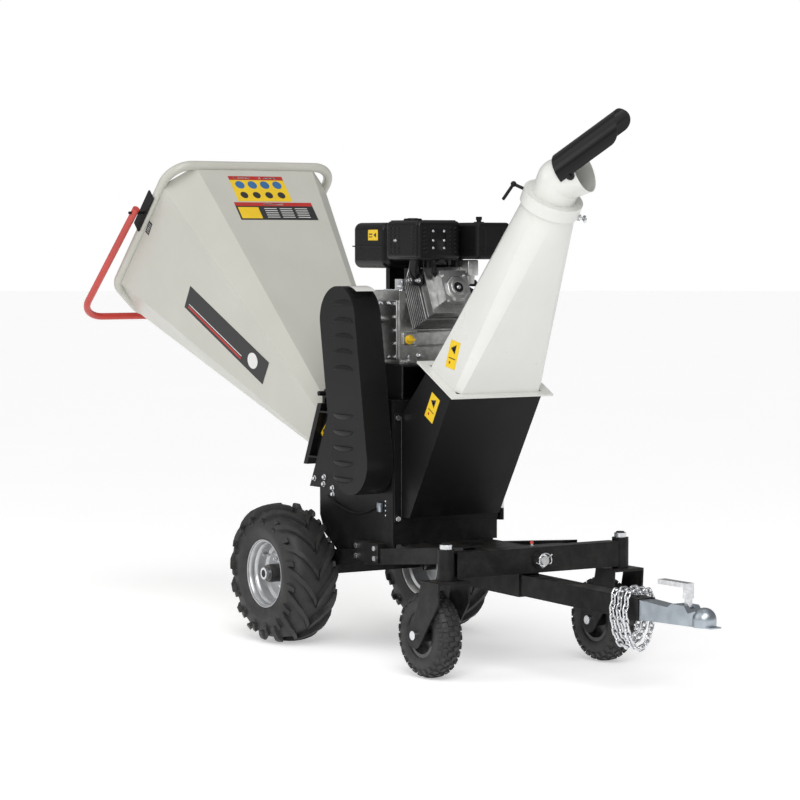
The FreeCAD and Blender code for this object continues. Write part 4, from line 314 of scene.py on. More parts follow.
FINISHES = {
    # On the black finishes the lighter fourth colour is painted highlight where the edges catch light; on the
    # light finishes the darker fourth colour is wear.
    "black_powder": coated("black_powder", (0.0085, 0.0085, 0.009), (0.005, 0.005, 0.0055),
                           (0.06, 0.06, 0.06), 0.40, specular_ior_level=0.20),
    "grey_powder": coated("grey_powder", (0.56, 0.555, 0.50), (0.52, 0.515, 0.462), (0.40, 0.39, 0.36),
                          0.36, dust=0.1, coat_weight=0.25, coat_roughness=0.22),
    "white_powder": coated("white_powder", (0.73, 0.735, 0.70), (0.68, 0.685, 0.65), (0.50, 0.50, 0.48),
                           0.30, dust=0.1, coat_weight=0.4, coat_roughness=0.15),
    "red_powder": coated("red_powder", (0.62, 0.045, 0.03), (0.50, 0.03, 0.02), (0.30, 0.05, 0.04),
                         0.30, dust=0.15, coat_weight=0.5, coat_roughness=0.12),
    "black_rim": coated("black_rim", (0.016, 0.016, 0.017), (0.009, 0.009, 0.010), (0.06, 0.06, 0.06),
                        0.30, dust=0.5, coat_weight=0.3, coat_roughness=0.15),
    "black_enamel": coated("black_enamel", (0.006, 0.006, 0.007), (0.0035, 0.0035, 0.004), (0.04, 0.04, 0.04),
                           0.30, fine=300.0, dust=0.12, specular_ior_level=0.15, coat_weight=0.25,
                           coat_roughness=0.08),
    "silver_rim": coated("silver_rim", (0.60, 0.61, 0.62), (0.46, 0.47, 0.48), (0.30, 0.29, 0.28),
                         0.34, dust=0.4, metallic=0.75, coat_weight=0.2, coat_roughness=0.2),
    "zinc": metal("zinc", (0.80, 0.81, 0.83), (0.55, 0.56, 0.58), 0.24, (60.0, 400.0, 400.0), 70.0),
    "satin_zinc": metal("satin_zinc", (0.50, 0.55, 0.60), (0.33, 0.37, 0.41), 0.34,
                        (50.0, 600.0, 600.0), 26.0),
    "steel": metal("steel", (0.58, 0.58, 0.58), (0.34, 0.33, 0.32), 0.32, (500.0, 60.0, 500.0), 40.0),
    "engine_alloy": metal("engine_alloy", (0.60, 0.60, 0.59), (0.26, 0.26, 0.26), 0.34,
                          (420.0, 420.0, 420.0), 55.0, depth=0.00025, edge=0.0016),
    "black_plastic": moulded("black_plastic", (0.008, 0.008, 0.0085), (0.005, 0.005, 0.0055), 0.42, 900.0,
                             0.00010, dust=0.12, specular_ior_level=0.18),
    "yellow_cap": moulded("yellow_cap", (0.90, 0.62, 0.02), (0.80, 0.50, 0.01), 0.34, 500.0, 0.00005,
                          dust=0.0),
    "tyre": moulded("tyre", (0.022, 0.022, 0.022), (0.014, 0.014, 0.014), 0.58, 260.0, 0.00018, edge=0.002),
    "label_yellow": printed("label_yellow", (0.88, 0.60, 0.01), (0.80, 0.52, 0.01)),
    "label_white": printed("label_white", (0.80, 0.80, 0.78), (0.72, 0.72, 0.70)),
    "label_black": printed("label_black", (0.012, 0.012, 0.012), (0.02, 0.02, 0.02)),
    "label_red": printed("label_red", (0.50, 0.02, 0.015), (0.42, 0.015, 0.01)),
    "label_blue": printed("label_blue", (0.03, 0.16, 0.38), (0.02, 0.12, 0.30)),
    "belt": moulded("belt", (0.03, 0.03, 0.03), (0.016, 0.016, 0.016), 0.7, 1100.0, 0.0002, dust=0.6),
}


# ---------------------------------------------------------------- making pieces

def piece_from(form, name, material):
    """A finished mesh object from a bmesh."""
    mesh = bpy.data.meshes.new(name)
    form.to_mesh(mesh)
    form.free()
    mesh.materials.append(material)
    made = bpy.data.objects.new(name, mesh)
    bpy.context.scene.collection.objects.link(made)
    return made


def fit(form, name, slot, body, finish=None):
    """The finished piece, in its finish, riding on its body."""
    made = piece_from(form, name, FINISHES[finish or slot])
    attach(made, body)
    return made


def smoothed(made, degrees=35.0):
    """Smooth faces that still break at the sharp edges."""
    made.data.shade_smooth()
    made.data.set_sharp_from_angle(angle=math.radians(degrees))
    return made


def lathe(form, profile, steps=72, closed=False):
    """Turns a profile of (radius, along) round the Y axis, into the form."""
    ring = [form.verts.new((radius, along, 0.0)) for radius, along in profile]
    pairs = list(zip(ring, ring[1:] + ring[:1])) if closed else list(zip(ring, ring[1:]))
    edges = [form.edges.new(pair) for pair in pairs]
    bmesh.ops.spin(form, geom=ring + edges, cent=(0, 0, 0), axis=(0, 1, 0), angle=math.tau,
                   steps=steps, use_merge=True)
    bmesh.ops.remove_doubles(form, verts=form.verts, dist=1e-6)
    bmesh.ops.recalc_face_normals(form, faces=form.faces)


def join(form, extra):
    """Puts one form into another and lets it go."""
    mesh = bpy.data.meshes.new("joined")
    extra.to_mesh(mesh)
    extra.free()
    form.from_mesh(mesh)
    bpy.data.meshes.remove(mesh)


def block(form, low, high, turn=None):
    """A box between two corners, turned by a matrix at the end."""
    low, high = Vector(low), Vector(high)
    size = high - low
    where = Matrix.Translation((low + high) / 2) @ Matrix.Diagonal((*size, 1.0))
    return bmesh.ops.create_cube(form, size=1.0, matrix=(turn @ where) if turn else where)["verts"]


def soften(form, offset, segments=3, edges=None):
    """Rounds every edge of the form, or only the ones given."""
    bmesh.ops.bevel(form, geom=list(form.edges) if edges is None else edges, offset=offset,
                    offset_type="OFFSET", segments=segments, profile=0.5, affect="EDGES", material=-1)


def drum(form, start, aim, radius, length, sides=24, far=None):
    """A rod or cone from a start along an aim."""
    aim = Vector(aim).normalized()
    middle = Vector(start) + aim * length / 2
    turn = aim.to_track_quat("Z", "Y").to_matrix().to_4x4()
    end = radius if far is None else far
    made = bmesh.ops.create_cone(form, cap_ends=True, segments=sides, radius1=radius, radius2=end,
                                 depth=length, matrix=Matrix.Translation(middle) @ turn)
    return made["verts"]


def hex_bolt(form, seat, aim, across, height, washer=1.35, stud=0.0):
    """A hexagon head on its washer, with a stud end if there is one."""
    aim = Vector(aim).normalized()
    seat = Vector(seat)
    thick = height * 0.28
    drum(form, seat, aim, across * washer / 2, thick, 28)
    drum(form, seat + aim * thick, aim, across / 2, height, 6)
    drum(form, seat + aim * (thick + height), aim, across * 0.42, height * 0.12, 24, across * 0.34)
    if stud:
        drum(form, seat + aim * (thick + height), aim, across * 0.27, stud, 20)


def tube(name, points, radius, slot, body, sides=5):
    """A bent rod or lead along a few points."""
    line = bpy.data.curves.new(name, "CURVE")
    line.dimensions = "3D"
    line.bevel_depth = radius
    line.bevel_resolution = sides
    line.use_fill_caps = True
    line.resolution_u = 10
    run = line.splines.new("NURBS")
    run.points.add(len(points) - 1)
    for spot, point in zip(run.points, points):
        spot.co = (*point, 1.0)
    run.order_u = 3
    run.use_endpoint_u = True
    made = bpy.data.objects.new(name, line)
    bpy.context.scene.collection.objects.link(made)
    bpy.context.view_layer.update()
    mesh = bpy.data.meshes.new_from_object(made)
    bpy.data.objects.remove(made)
    solid = bpy.data.objects.new(name, mesh)
    bpy.context.scene.collection.objects.link(solid)
    mesh.shade_smooth()
    mesh.materials.clear()
    mesh.materials.append(FINISHES[slot])
    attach(solid, body)


def surface(name):
    """A CAD node's surface, to find where a line meets it."""
    form = bmesh.new()
    form.from_mesh(nodes[name].data)
    tree = BVHTree.FromBMesh(form)
    form.free()
    return tree


def meet(name, start, aim):
    """The point and normal where a line from start first meets the node."""
    start, aim = Vector(start), Vector(aim).normalized()
    point, normal, _, _ = surface(name).ray_cast(start, aim)
    if normal.dot(aim) > 0:
        normal = -normal
    return point, normal


# ---------------------------------------------------------------- tyres and wheels

WHEEL_X, WHEEL_Z = -0.262, 0.229
NUT_CIRCLE = 0.046
TREAD = ((0.0, 0.2125), (0.030, 0.2120), (0.055, 0.2085), (0.070, 0.2000), (0.0785, 0.1870), (0.0820, 0.1740))


def on_tread(profile, along):
    """Radius, height along the axle and outward lean of the tread at a length along its curve."""
    left = along
    for (y0, r0), (y1, r1) in zip(profile, profile[1:]):
        run = math.hypot(y1 - y0, r1 - r0)
        if left <= run or (y1, r1) == profile[-1]:
            part = left / run
            out = Vector((-(r1 - r0), (y1 - y0))).normalized()
            return y0 + (y1 - y0) * part, r0 + (r1 - r0) * part, out
        left -= run
    return profile[-1][0], profile[-1][1], Vector((1.0, 0.0))


def wrap_lug(verts, profile, side, turn, slant, height, curl=0.85):
    """Lays a block of (along, across, up) on the tread: along runs from the middle to the shoulder."""
    for vert in verts:
        along, across, up = vert.co
        y, r, out = on_tread(profile, max(along, 0.0))
        rise = up * height
        y += out.x * rise
        r += out.y * rise
        angle = turn + slant * max(along, 0.0) ** curl + across / r
        vert.co = (r * math.cos(angle), side * y, r * math.sin(angle))


def lug(form, length, width, profile, side, turn, slant, height, start=0.002, cuts=7, taper=0.82):
    """One tread bar, wide at the foot and narrower on top."""
    bar = bmesh.new()
    bmesh.ops.create_cube(bar, size=1.0, matrix=Matrix.Translation((0.5, 0, 0.42)))
    edges = [edge for edge in bar.edges if abs(edge.verts[0].co.x - edge.verts[1].co.x) > 0.5]
    bmesh.ops.subdivide_edges(bar, edges=edges, cuts=cuts, use_grid_fill=True)
    for vert in bar.verts:
        narrow = taper if vert.co.z > 0.5 else 1.0
        vert.co = (start + vert.co.x * length, vert.co.y * width * narrow, vert.co.z)
    wrap_lug(bar.verts, profile, side, turn, slant, height)
    join(form, bar)


def place_wheel(form, middle, axle_z, wheel_x, mirrored=False):
    """Moves a wheel made round the origin onto its axle, turned inside out for the other side."""
    if mirrored:
        bmesh.ops.transform(form, matrix=Matrix.Scale(-1, 4, (0, 1, 0)), verts=form.verts)
    bmesh.ops.transform(form, matrix=Matrix.Translation((wheel_x, middle, axle_z)), verts=form.verts)
    bmesh.ops.recalc_face_normals(form, faces=form.faces)


def rear_tyre(name):
    """A balloon tyre with swept tread bars that meet in a V, shoulder blocks and a rim rib."""
    low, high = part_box("tyre_" + name)
    form = bmesh.new()
    outer = [(r, y) for y, r in TREAD]
    wall = [(0.158, 0.0838), (0.150, 0.0850), (0.147, 0.0850), (0.138, 0.0835), (0.128, 0.0805),
            (0.121, 0.0775), (0.1165, 0.0765), (0.1135, 0.0745), (0.1125, 0.0715)]
    half = outer + wall
    profile = [(r, -y) for r, y in reversed(half)] + half[1:]
    lathe(form, profile, 96)
    bars = 15
    for step in range(bars):
        base = math.tau * step / bars
        for flip in (1, -1):
            turn = base + (0.0 if flip > 0 else 0.035)
            lug(form, 0.089, 0.026, TREAD, flip, turn, 4.2, 0.0178)
            lug(form, 0.030, 0.020, TREAD[3:], flip, turn + 0.62, 1.0, 0.0105, 0.002, 3)
            y = 0.0825 * flip
            spot = Matrix.Rotation(-(base + 0.25), 4, "Y") @ Matrix.Translation((0.166, y, 0))
            block(form, (-0.006, -0.0025, -0.006), (0.006, 0.0025, 0.006), spot)
    place_wheel(form, (low.y + high.y) / 2, WHEEL_Z, WHEEL_X)
    made = smoothed(fit(form, "tread_" + name, "tyre", "wheel_" + name), 40)
    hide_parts("tyre_" + name)


def rear_rim(side, name):
    """A deep pressed rim in silver, with its black hub, cap, nuts and valve."""
    low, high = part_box("rim_" + name)
    middle = (low.y + high.y) / 2
    body = "wheel_" + name
    face = [(0.1118, 0.0745), (0.1118, 0.0715), (0.1050, 0.0695), (0.1020, 0.0640), (0.1010, 0.0520),
            (0.0960, 0.0470), (0.0935, 0.0380), (0.0930, 0.0160), (0.0850, 0.0080), (0.0620, 0.0060),
            (0.0500, 0.0090), (0.0400, 0.0110), (0.0280, 0.0110)]
    back = [(0.0280, 0.0070), (0.0480, 0.0060), (0.0620, 0.0015), (0.0850, 0.0030), (0.0900, -0.0100),
            (0.0900, -0.0500)]
    form = bmesh.new()
    shell = face + back + [(0.0980, -0.0560), (0.1010, -0.0660), (0.1090, -0.0745), (0.1118, -0.0745),
                               (0.1118, -0.0700), (0.1065, -0.0650), (0.1040, -0.0540), (0.0960, -0.0400),
                               (0.0950, 0.0380), (0.1040, 0.0540), (0.1065, 0.0650), (0.1090, 0.0745)]
    lathe(form, shell, 96, closed=True)
    place_wheel(form, middle, WHEEL_Z, WHEEL_X, side < 0)
    rim = smoothed(fit(form, "pressed_rim_" + name, "silver_rim", body), 30)
    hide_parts("rim_" + name)
    form = bmesh.new()
    hub = [(0.0128, -0.0600), (0.0290, -0.0600), (0.0300, -0.0580), (0.0300, 0.0500), (0.0285, 0.0530),
           (0.0285, 0.0600), (0.0270, 0.0618), (0.0130, 0.0618)]
    lathe(form, hub, 48, closed=True)
    place_wheel(form, middle, WHEEL_Z, WHEEL_X, side < 0)
    smoothed(fit(form, "wheel_hub_" + name, "black_rim", body))
    form = bmesh.new()
    for step in range(4):
        turn = math.tau * step / 4 + 0.4
        spot = Vector((WHEEL_X + NUT_CIRCLE * math.cos(turn), middle + side * 0.0095,
                       WHEEL_Z + NUT_CIRCLE * math.sin(turn)))
        hex_bolt(form, spot, (0, side, 0), 0.016, 0.009, 1.4, 0.006)
    stem = Vector((WHEEL_X - 0.072, middle + side * 0.006, WHEEL_Z + 0.052))
    drum(form, stem, (0, side, 0), 0.0042, 0.030, 16)
    fit(form, "wheel_nuts_" + name, "zinc", body)


KNOBS = ((0.0, 0.1262), (0.012, 0.1258), (0.024, 0.1230), (0.033, 0.1165), (0.0385, 0.1080), (0.0405, 0.0980))


def caster_tyre(name):
    """A small knobbly tyre: rows of square blocks over the crown and down the shoulders."""
    low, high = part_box("caster_tyre_" + name)
    x, z = (low.x + high.x) / 2, (low.z + high.z) / 2
    form = bmesh.new()
    half = [(r, y) for y, r in KNOBS] + [(0.088, 0.0415), (0.080, 0.0405), (0.074, 0.0385), (0.0715, 0.0365),
                                         (0.0700, 0.0340)]
    lathe(form, [(r, -y) for r, y in reversed(half)] + half[1:], 72)
    count = 26
    for step in range(count):
        turn = math.tau * step / count
        for flip in (1, -1):
            shift = turn + (math.pi / count if flip < 0 else 0.0)
            lug(form, 0.013, 0.016, KNOBS, flip, shift, 0.0, 0.0068, 0.0015, 1)
            lug(form, 0.012, 0.013, KNOBS, flip, shift + 0.10, 0.0, 0.0062, 0.0185, 1)
            lug(form, 0.013, 0.015, KNOBS, flip, shift, 0.0, 0.0055, 0.0345, 1)
    place_wheel(form, (low.y + high.y) / 2, z, x)
    made = smoothed(fit(form, "knobbly_tyre_" + name, "tyre", "caster_wheel_" + name), 40)
    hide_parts("caster_tyre_" + name)


# ---------------------------------------------------------------- belt cover

def belt_cover_louvres():
    """Ten pressed louvres in the belt cover's face, five open downwards and five upwards, each with a thin
    black box in its mouth as painted shade.
    """
    low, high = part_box("belt_cover")
    x, face = (low.x + high.x) / 2, low.y
    form = bmesh.new()
    slots = bmesh.new()
    rows = [(z, 1) for z in (1.115, 1.060, 1.009, 0.960, 0.908)]
    rows += [(z, -1) for z in (0.767, 0.715, 0.665, 0.617, 0.566)]
    for z, way in rows:
        shell = bmesh.new()
        bmesh.ops.create_uvsphere(shell, u_segments=32, v_segments=16, radius=1.0,
                                  matrix=Matrix.Diagonal((0.058, 0.0060, 0.017, 1.0)))
        for point, aim in (((0, 0, 0), (0, 0, -way)), ((0, 0.0005, 0), (0, 1, 0))):
            everything = list(shell.verts) + list(shell.edges) + list(shell.faces)
            bmesh.ops.bisect_plane(shell, geom=everything, plane_co=point, plane_no=aim, clear_outer=True)
        bmesh.ops.recalc_face_normals(shell, faces=shell.faces)
        bmesh.ops.solidify(shell, geom=list(shell.faces), thickness=0.0015)
        bmesh.ops.transform(shell, matrix=Matrix.Translation((x, face, z)), verts=shell.verts)
        join(form, shell)
        # A thin black box at each louvre's mouth: painted shade standing in for the dark opening.
        block(slots, (x - 0.052, face - 0.0006, z - 0.0015),
              (x + 0.052, face + 0.0002, z + 0.0015 + way * 0.006))
    smoothed(fit(form, "cover_louvres", "black_powder", "chassis"), 50)
    fit(slots, "louvre_shade_boxes", "black_plastic", "chassis")


# ---------------------------------------------------------------- labels

LABEL_THICK, MARK_LIFT = 0.0006, 0.00025


def label(name, node, start, aim, up, width, height, marks, body, base="label_yellow"):
    """A thin plate stuck on a surface, with plain generic marks a hair above it."""
    point, normal = meet(node, start, aim)
    up = (Vector(up) - normal * Vector(up).dot(normal)).normalized()
    right = up.cross(normal)
    where = Matrix((right, up, normal)).transposed().to_4x4()
    where.translation = point
    form = bmesh.new()
    slots = [base]
    pieces = [(base, "box", 0.0, 0.0, width, height)] + list(marks)
    for level, (colour, shape, x, y, wide, tall) in enumerate(pieces):
        top = LABEL_THICK + (MARK_LIFT if level else 0.0)
        if shape == "disc":
            middle = where @ Vector((x, y, 0.0))
            made = drum(form, middle, normal, wide / 2, top, 20)
        elif shape == "peak":
            turn = where @ Matrix.Translation((x, y, top / 2)) @ Matrix.Rotation(math.pi / 2, 4, "Z")
            made = bmesh.ops.create_cone(form, cap_ends=True, segments=3, radius1=wide / 2, radius2=wide / 2,
                                         depth=top, matrix=turn)["verts"]
        else:
            made = block(form, (x - wide / 2, y - tall / 2, 0.0), (x + wide / 2, y + tall / 2, top), where)
        if colour not in slots:
            slots.append(colour)
        for face in {face for vert in made for face in vert.link_faces}:
            face.material_index = slots.index(colour)
    made = fit(form, name, "yellow_cap", body, finish=base)
    for extra in slots[1:]:
        made.data.materials.append(FINISHES[extra])


def hopper_labels():
    """Plain pictogram panels on the hopper's top, and a black nameplate strip on its side."""
    slope = Vector((0.75, 0.0, 0.66)).normalized()
    rise = (-0.66, 0.0, 0.75)
    marks = [("label_red", "box", 0.0, 0.050, 0.218, 0.018)]
    marks += [("label_white", "peak", x, 0.050, 0.014, 0.014) for x in (-0.085, 0.015)]
    marks += [("label_white", "box", x, 0.050, 0.050, 0.006) for x in (-0.050, 0.055)]
    marks += [("label_blue", "disc", -0.075 + 0.050 * step, 0.018, 0.036, 0.036) for step in range(4)]
    marks += [("label_black", "disc", -0.075 + 0.050 * step, -0.030, 0.030, 0.030) for step in range(4)]
    label("hopper_panel_upper", "hopper_shell", Vector((-0.909, -0.016, 1.501)) + slope * 0.2, -slope, rise,
          0.218, 0.118, marks, "hopper")
    marks = [("label_red", "box", 0.0, 0.032, 0.312, 0.017), ("label_white", "box", 0.0, 0.032, 0.080, 0.007),
             ("label_yellow", "box", -0.108, -0.008, 0.082, 0.052)]
    marks += [("label_white", "box", -0.02 + 0.062 * column, 0.012 - 0.010 * row, 0.050, 0.003)
              for column in range(3) for row in range(5)]
    label("hopper_panel_lower", "hopper_shell", Vector((-0.840, 0.010, 1.422)) + slope * 0.2, -slope, rise,
          0.312, 0.081, marks, "hopper", "label_black")
    marks = [("label_red", "box", -0.060, -0.030, 0.330, 0.008),
             ("label_white", "box", -0.060, -0.020, 0.330, 0.003),
             ("label_white", "disc", 0.165, 0.0, 0.056, 0.056)]
    label("side_nameplate", "hopper_shell", (-0.758, -0.6, 0.997), (0, 1, 0), (0.53, 0.0, 0.85), 0.490, 0.089,
          marks, "hopper", "label_black")
    label("rating_plate", "hopper_shell", (-1.154, -0.6, 1.364), (0, 1, 0), (0.62, 0.0, 0.78), 0.022, 0.050,
          [("label_white", "box", 0.0, 0.016 - 0.008 * row, 0.014, 0.002) for row in range(5)], "hopper",
          "label_black")


def machine_labels():
    """Small yellow labels on the chute, the duct, the throat and the tank, and a white one on the cover."""
    inward = (0, 1, 0)
    marks = [("label_black", "peak", 0.0, 0.018, 0.034, 0.034),
             ("label_yellow", "disc", 0.0, 0.016, 0.010, 0.010),
             ("label_black", "box", 0.0, -0.012, 0.034, 0.003),
             ("label_red", "disc", -0.008, -0.026, 0.009, 0.009)]
    label("chute_label", "chute_tower", (0.510, -0.5, 0.967), inward, (0.22, 0.0, 1.0), 0.050, 0.086,
          marks, "discharge_door")
    label("duct_label", "discharge_duct", (0.425, -0.5, 0.800), inward, (0.5, 0.0, 0.87), 0.050, 0.086,
          marks, "discharge_door")
    label("throat_label", "drum_casing", (-0.218, -0.5, 0.718), inward, (0.7, 0.0, 0.7), 0.020, 0.120,
          [("label_black", "box", 0.0, -0.035, 0.012, 0.020)], "chassis")
    marks = [("label_black", "peak", 0.014, 0.0, 0.020, 0.020),
             ("label_black", "box", -0.014, 0.003, 0.020, 0.004),
             ("label_black", "box", -0.014, -0.006, 0.020, 0.003)]
    label("tank_label", "fuel_tank", (0.047, -0.5, 1.336), inward, (0, 0, 1), 0.058, 0.034, marks, "chassis")
    cover_label()


def cover_label():
    """The white label with its red end, bent over the belt cover's round top."""
    low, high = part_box("belt_cover")
    bend = 0.106
    form = bmesh.new()
    for index, (start, sweep) in enumerate(((1.02, 0.62), (1.50, 0.10))):
        x, z = bend * math.cos(start) + (0.0008 if index else 0.0005), bend * math.sin(start)
        ring = [form.verts.new((x, y, z)) for y in (low.y + 0.014, high.y - 0.008)]
        edge = form.edges.new(ring)
        bmesh.ops.spin(form, geom=ring + [edge], cent=(0, 0, 0), axis=(0, -1, 0), angle=sweep, steps=14)
        for face in form.faces:
            if not face.tag:
                face.material_index = index
                face.tag = True
    for vert in form.verts:
        out = 0.0009 if vert.link_faces[0].material_index else 0.0006
        spot = Vector((vert.co.x, 0.0, vert.co.z)).normalized() * (bend + out)
        vert.co.x, vert.co.z = spot.x, spot.z
    bmesh.ops.recalc_face_normals(form, faces=form.faces)
    centre = Vector(((low.x + high.x) / 2, 0.0, high.z - bend))
    bmesh.ops.transform(form, matrix=Matrix.Translation(centre), verts=form.verts)
    made = fit(form, "cover_label", "yellow_cap", "chassis", finish="label_white")
    made.data.materials.append(FINISHES["label_red"])


# ---------------------------------------------------------------- engine

LOUVRE_ROWS, ROW_PITCH, LOUVRE_LEAN = 7, 0.0125, 0.35


def pressed_slots(hoods, slits, corner, right, columns, pitch, wide):
    """Columns of small pressed louvres, each with a thin black box under its hood as painted shade in the
    slit.
    """
    right, up = Vector(right), Vector((0, 0, 1))
    normal = right.cross(up)
    for column in range(columns):
        for row in range(LOUVRE_ROWS):
            place = Vector(corner) + right * pitch * column + up * ROW_PITCH * row
            where = Matrix((right, up, normal)).transposed().to_4x4()
            where.translation = place
            lean = where @ Matrix.Rotation(LOUVRE_LEAN, 4, "Z")
            bmesh.ops.create_uvsphere(hoods, u_segments=12, v_segments=8, radius=1.0,
                                      matrix=lean @ Matrix.Diagonal((wide / 2, 0.0028, 0.0028, 1.0)))
            # Black box under the hood: painted shade for the slit.
            block(slits, (-wide * 0.46, -0.0062, -0.0004), (wide * 0.46, -0.0022, 0.0004), lean)


def muffler_guard():
    """Louvres, a screwed plate and seams on the black muffler guard."""
    low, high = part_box("muffler")
    hoods, slits = bmesh.new(), bmesh.new()
    bottom = low.z + 0.026
    panels = (((low.x + 0.026, low.y, bottom), (1, 0, 0), 3, 0.024, 0.016),
              ((high.x - 0.030, low.y, bottom), (1, 0, 0), 1, 0.024, 0.016),
              ((high.x, low.y + 0.028, bottom), (0, 1, 0), 1, 0.022, 0.020),
              ((high.x, high.y - 0.040, bottom), (0, 1, 0), 2, 0.018, 0.012))
    for panel in panels:
        pressed_slots(hoods, slits, *panel)
    smoothed(fit(hoods, "guard_louvres", "black_enamel", "chassis"))
    fit(slits, "guard_slit_shades", "black_plastic", "chassis")
    form = bmesh.new()
    block(form, (high.x - 0.0005, low.y + 0.048, low.z + 0.030),
          (high.x + 0.0016, high.y - 0.058, high.z - 0.024))
    block(form, (low.x + 0.012, low.y + 0.012, high.z - 0.0005),
          (high.x - 0.014, high.y - 0.012, high.z + 0.0025))
    soften(form, 0.0012, 2)
    smoothed(fit(form, "guard_plates", "black_enamel", "chassis"))
    form = bmesh.new()
    for y in (low.y + 0.056, high.y - 0.066):
        for z in (low.z + 0.038, (low.z + high.z) / 2, high.z - 0.032):
            hex_bolt(form, (high.x + 0.0014, y, z), (1, 0, 0), 0.006, 0.003)
    hex_bolt(form, (low.x + 0.058, low.y, (low.z + high.z) / 2), (0, -1, 0), 0.008, 0.004)
    fit(form, "guard_screws", "zinc", "chassis")


def air_cleaner_trim():
    """The air cleaner's seam, its front rib and the wing knob on top."""
    low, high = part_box("air_cleaner")
    form = bmesh.new()
    seam = low.z + 0.030
    block(form, (low.x - 0.0015, low.y - 0.0015, seam), (high.x + 0.0015, high.y + 0.0015, seam + 0.005))
    upright = [edge for edge in form.edges if abs(edge.verts[0].co.z - edge.verts[1].co.z) > 0.003]
    soften(form, 0.012, 5, upright)
    for y in (low.y + 0.030, high.y - 0.030):
        drum(form, (high.x - 0.001, y, low.z + 0.014), (0, 0, 1), 0.0040, 0.086, 16)
    middle = Vector(((low.x + high.x) / 2, (low.y + high.y) / 2, high.z - 0.001))
    drum(form, middle, (0, 0, 1), 0.016, 0.004, 28)
    drum(form, middle + Vector((0, 0, 0.004)), (0, 0, 1), 0.0075, 0.009, 20)
    block(form, middle + Vector((-0.013, -0.0028, 0.009)), middle + Vector((0.013, 0.0028, 0.020)))
    smoothed(fit(form, "air_cleaner_trim", "black_plastic", "chassis"))


def rocker_dome():
    """The eight-sided dome pressed in the rocker cover, its round centre and its bolts."""
    point, normal = meet("rocker_cover", (0.60, -0.020, 1.28), (-0.92, 0.0, -0.39))
    turn = normal.to_track_quat("Z", "Y").to_matrix().to_4x4()
    base = Matrix.Translation(point) @ turn
    form = bmesh.new()
    eighth = Matrix.Translation((0, 0, 0.004)) @ Matrix.Rotation(math.pi / 8, 4, "Z")
    bmesh.ops.create_cone(form, cap_ends=True, segments=8, radius1=0.046, radius2=0.040, depth=0.012,
                          matrix=base @ eighth)
    rims = [edge for edge in form.edges if all((vert.co - point).dot(normal) > 0.006 for vert in edge.verts)]
    soften(form, 0.003, 3, rims)
    drum(form, point + normal * 0.008, normal, 0.026, 0.0045, 40, 0.023)
    for x, y in ((-1, -1), (1, -1), (1, 1), (-1, 1)):
        corner = base @ Vector((x * 0.040, y * 0.043, 0.0))
        hex_bolt(form, corner, normal, 0.010, 0.005)
    smoothed(fit(form, "rocker_dome", "engine_alloy", "chassis"))
    form = bmesh.new()
    drum(form, point + normal * 0.012, normal, 0.017, 0.0012, 36)
    fit(form, "rocker_centre", "black_plastic", "chassis")
    form = bmesh.new()
    hex_bolt(form, point + normal * 0.0130, normal, 0.010, 0.004)
    fit(form, "rocker_bolt", "zinc", "chassis")


def crankcase_parts():
    """The crankcase's side cover, ribs, feet, plugs and bolts."""
    low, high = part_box("crankcase")
    form = bmesh.new()
    block(form, (low.x + 0.012, low.y - 0.010, low.z + 0.014),
          (high.x - 0.004, low.y + 0.002, high.z - 0.030))
    for z in (low.z + 0.055, low.z + 0.100, low.z + 0.130, low.z + 0.158):
        block(form, (high.x - 0.002, low.y + 0.060, z), (high.x + 0.008, high.y - 0.006, z + 0.005))
    for y in (low.y + 0.012, high.y - 0.042):
        block(form, (high.x - 0.002, y, low.z), (high.x + 0.022, y + 0.030, low.z + 0.012))
    block(form, (high.x - 0.002, low.y + 0.010, low.z + 0.062),
          (high.x + 0.006, low.y + 0.056, low.z + 0.100))
    soften(form, 0.0022)
    drum(form, (high.x - 0.001, low.y + 0.032, low.z + 0.078), (1, 0, 0), 0.019, 0.006, 32)
    smoothed(fit(form, "crankcase_cover", "engine_alloy", "chassis"))
    form = bmesh.new()
    for z in (0.024, 0.066, 0.108, 0.150, 0.192):
        hex_bolt(form, (high.x - 0.014, low.y - 0.010, low.z + z), (0, -1, 0), 0.010, 0.006)
    for x in (0.045, 0.100, 0.150):
        for z in (0.022, 0.194):
            hex_bolt(form, (low.x + x, low.y - 0.010, low.z + z), (0, -1, 0), 0.010, 0.006)
    for y in (low.y + 0.027, high.y - 0.027):
        hex_bolt(form, (high.x + 0.012, y, low.z + 0.012), (0, 0, 1), 0.013, 0.008, 1.5, 0.006)
    hex_bolt(form, (high.x, low.y + 0.075, low.z + 0.026), (1, 0, 0), 0.015, 0.008)
    hex_bolt(form, (high.x, high.y - 0.040, low.z + 0.026), (1, 0, 0), 0.012, 0.008)
    fit(form, "crankcase_bolts", "zinc", "chassis")


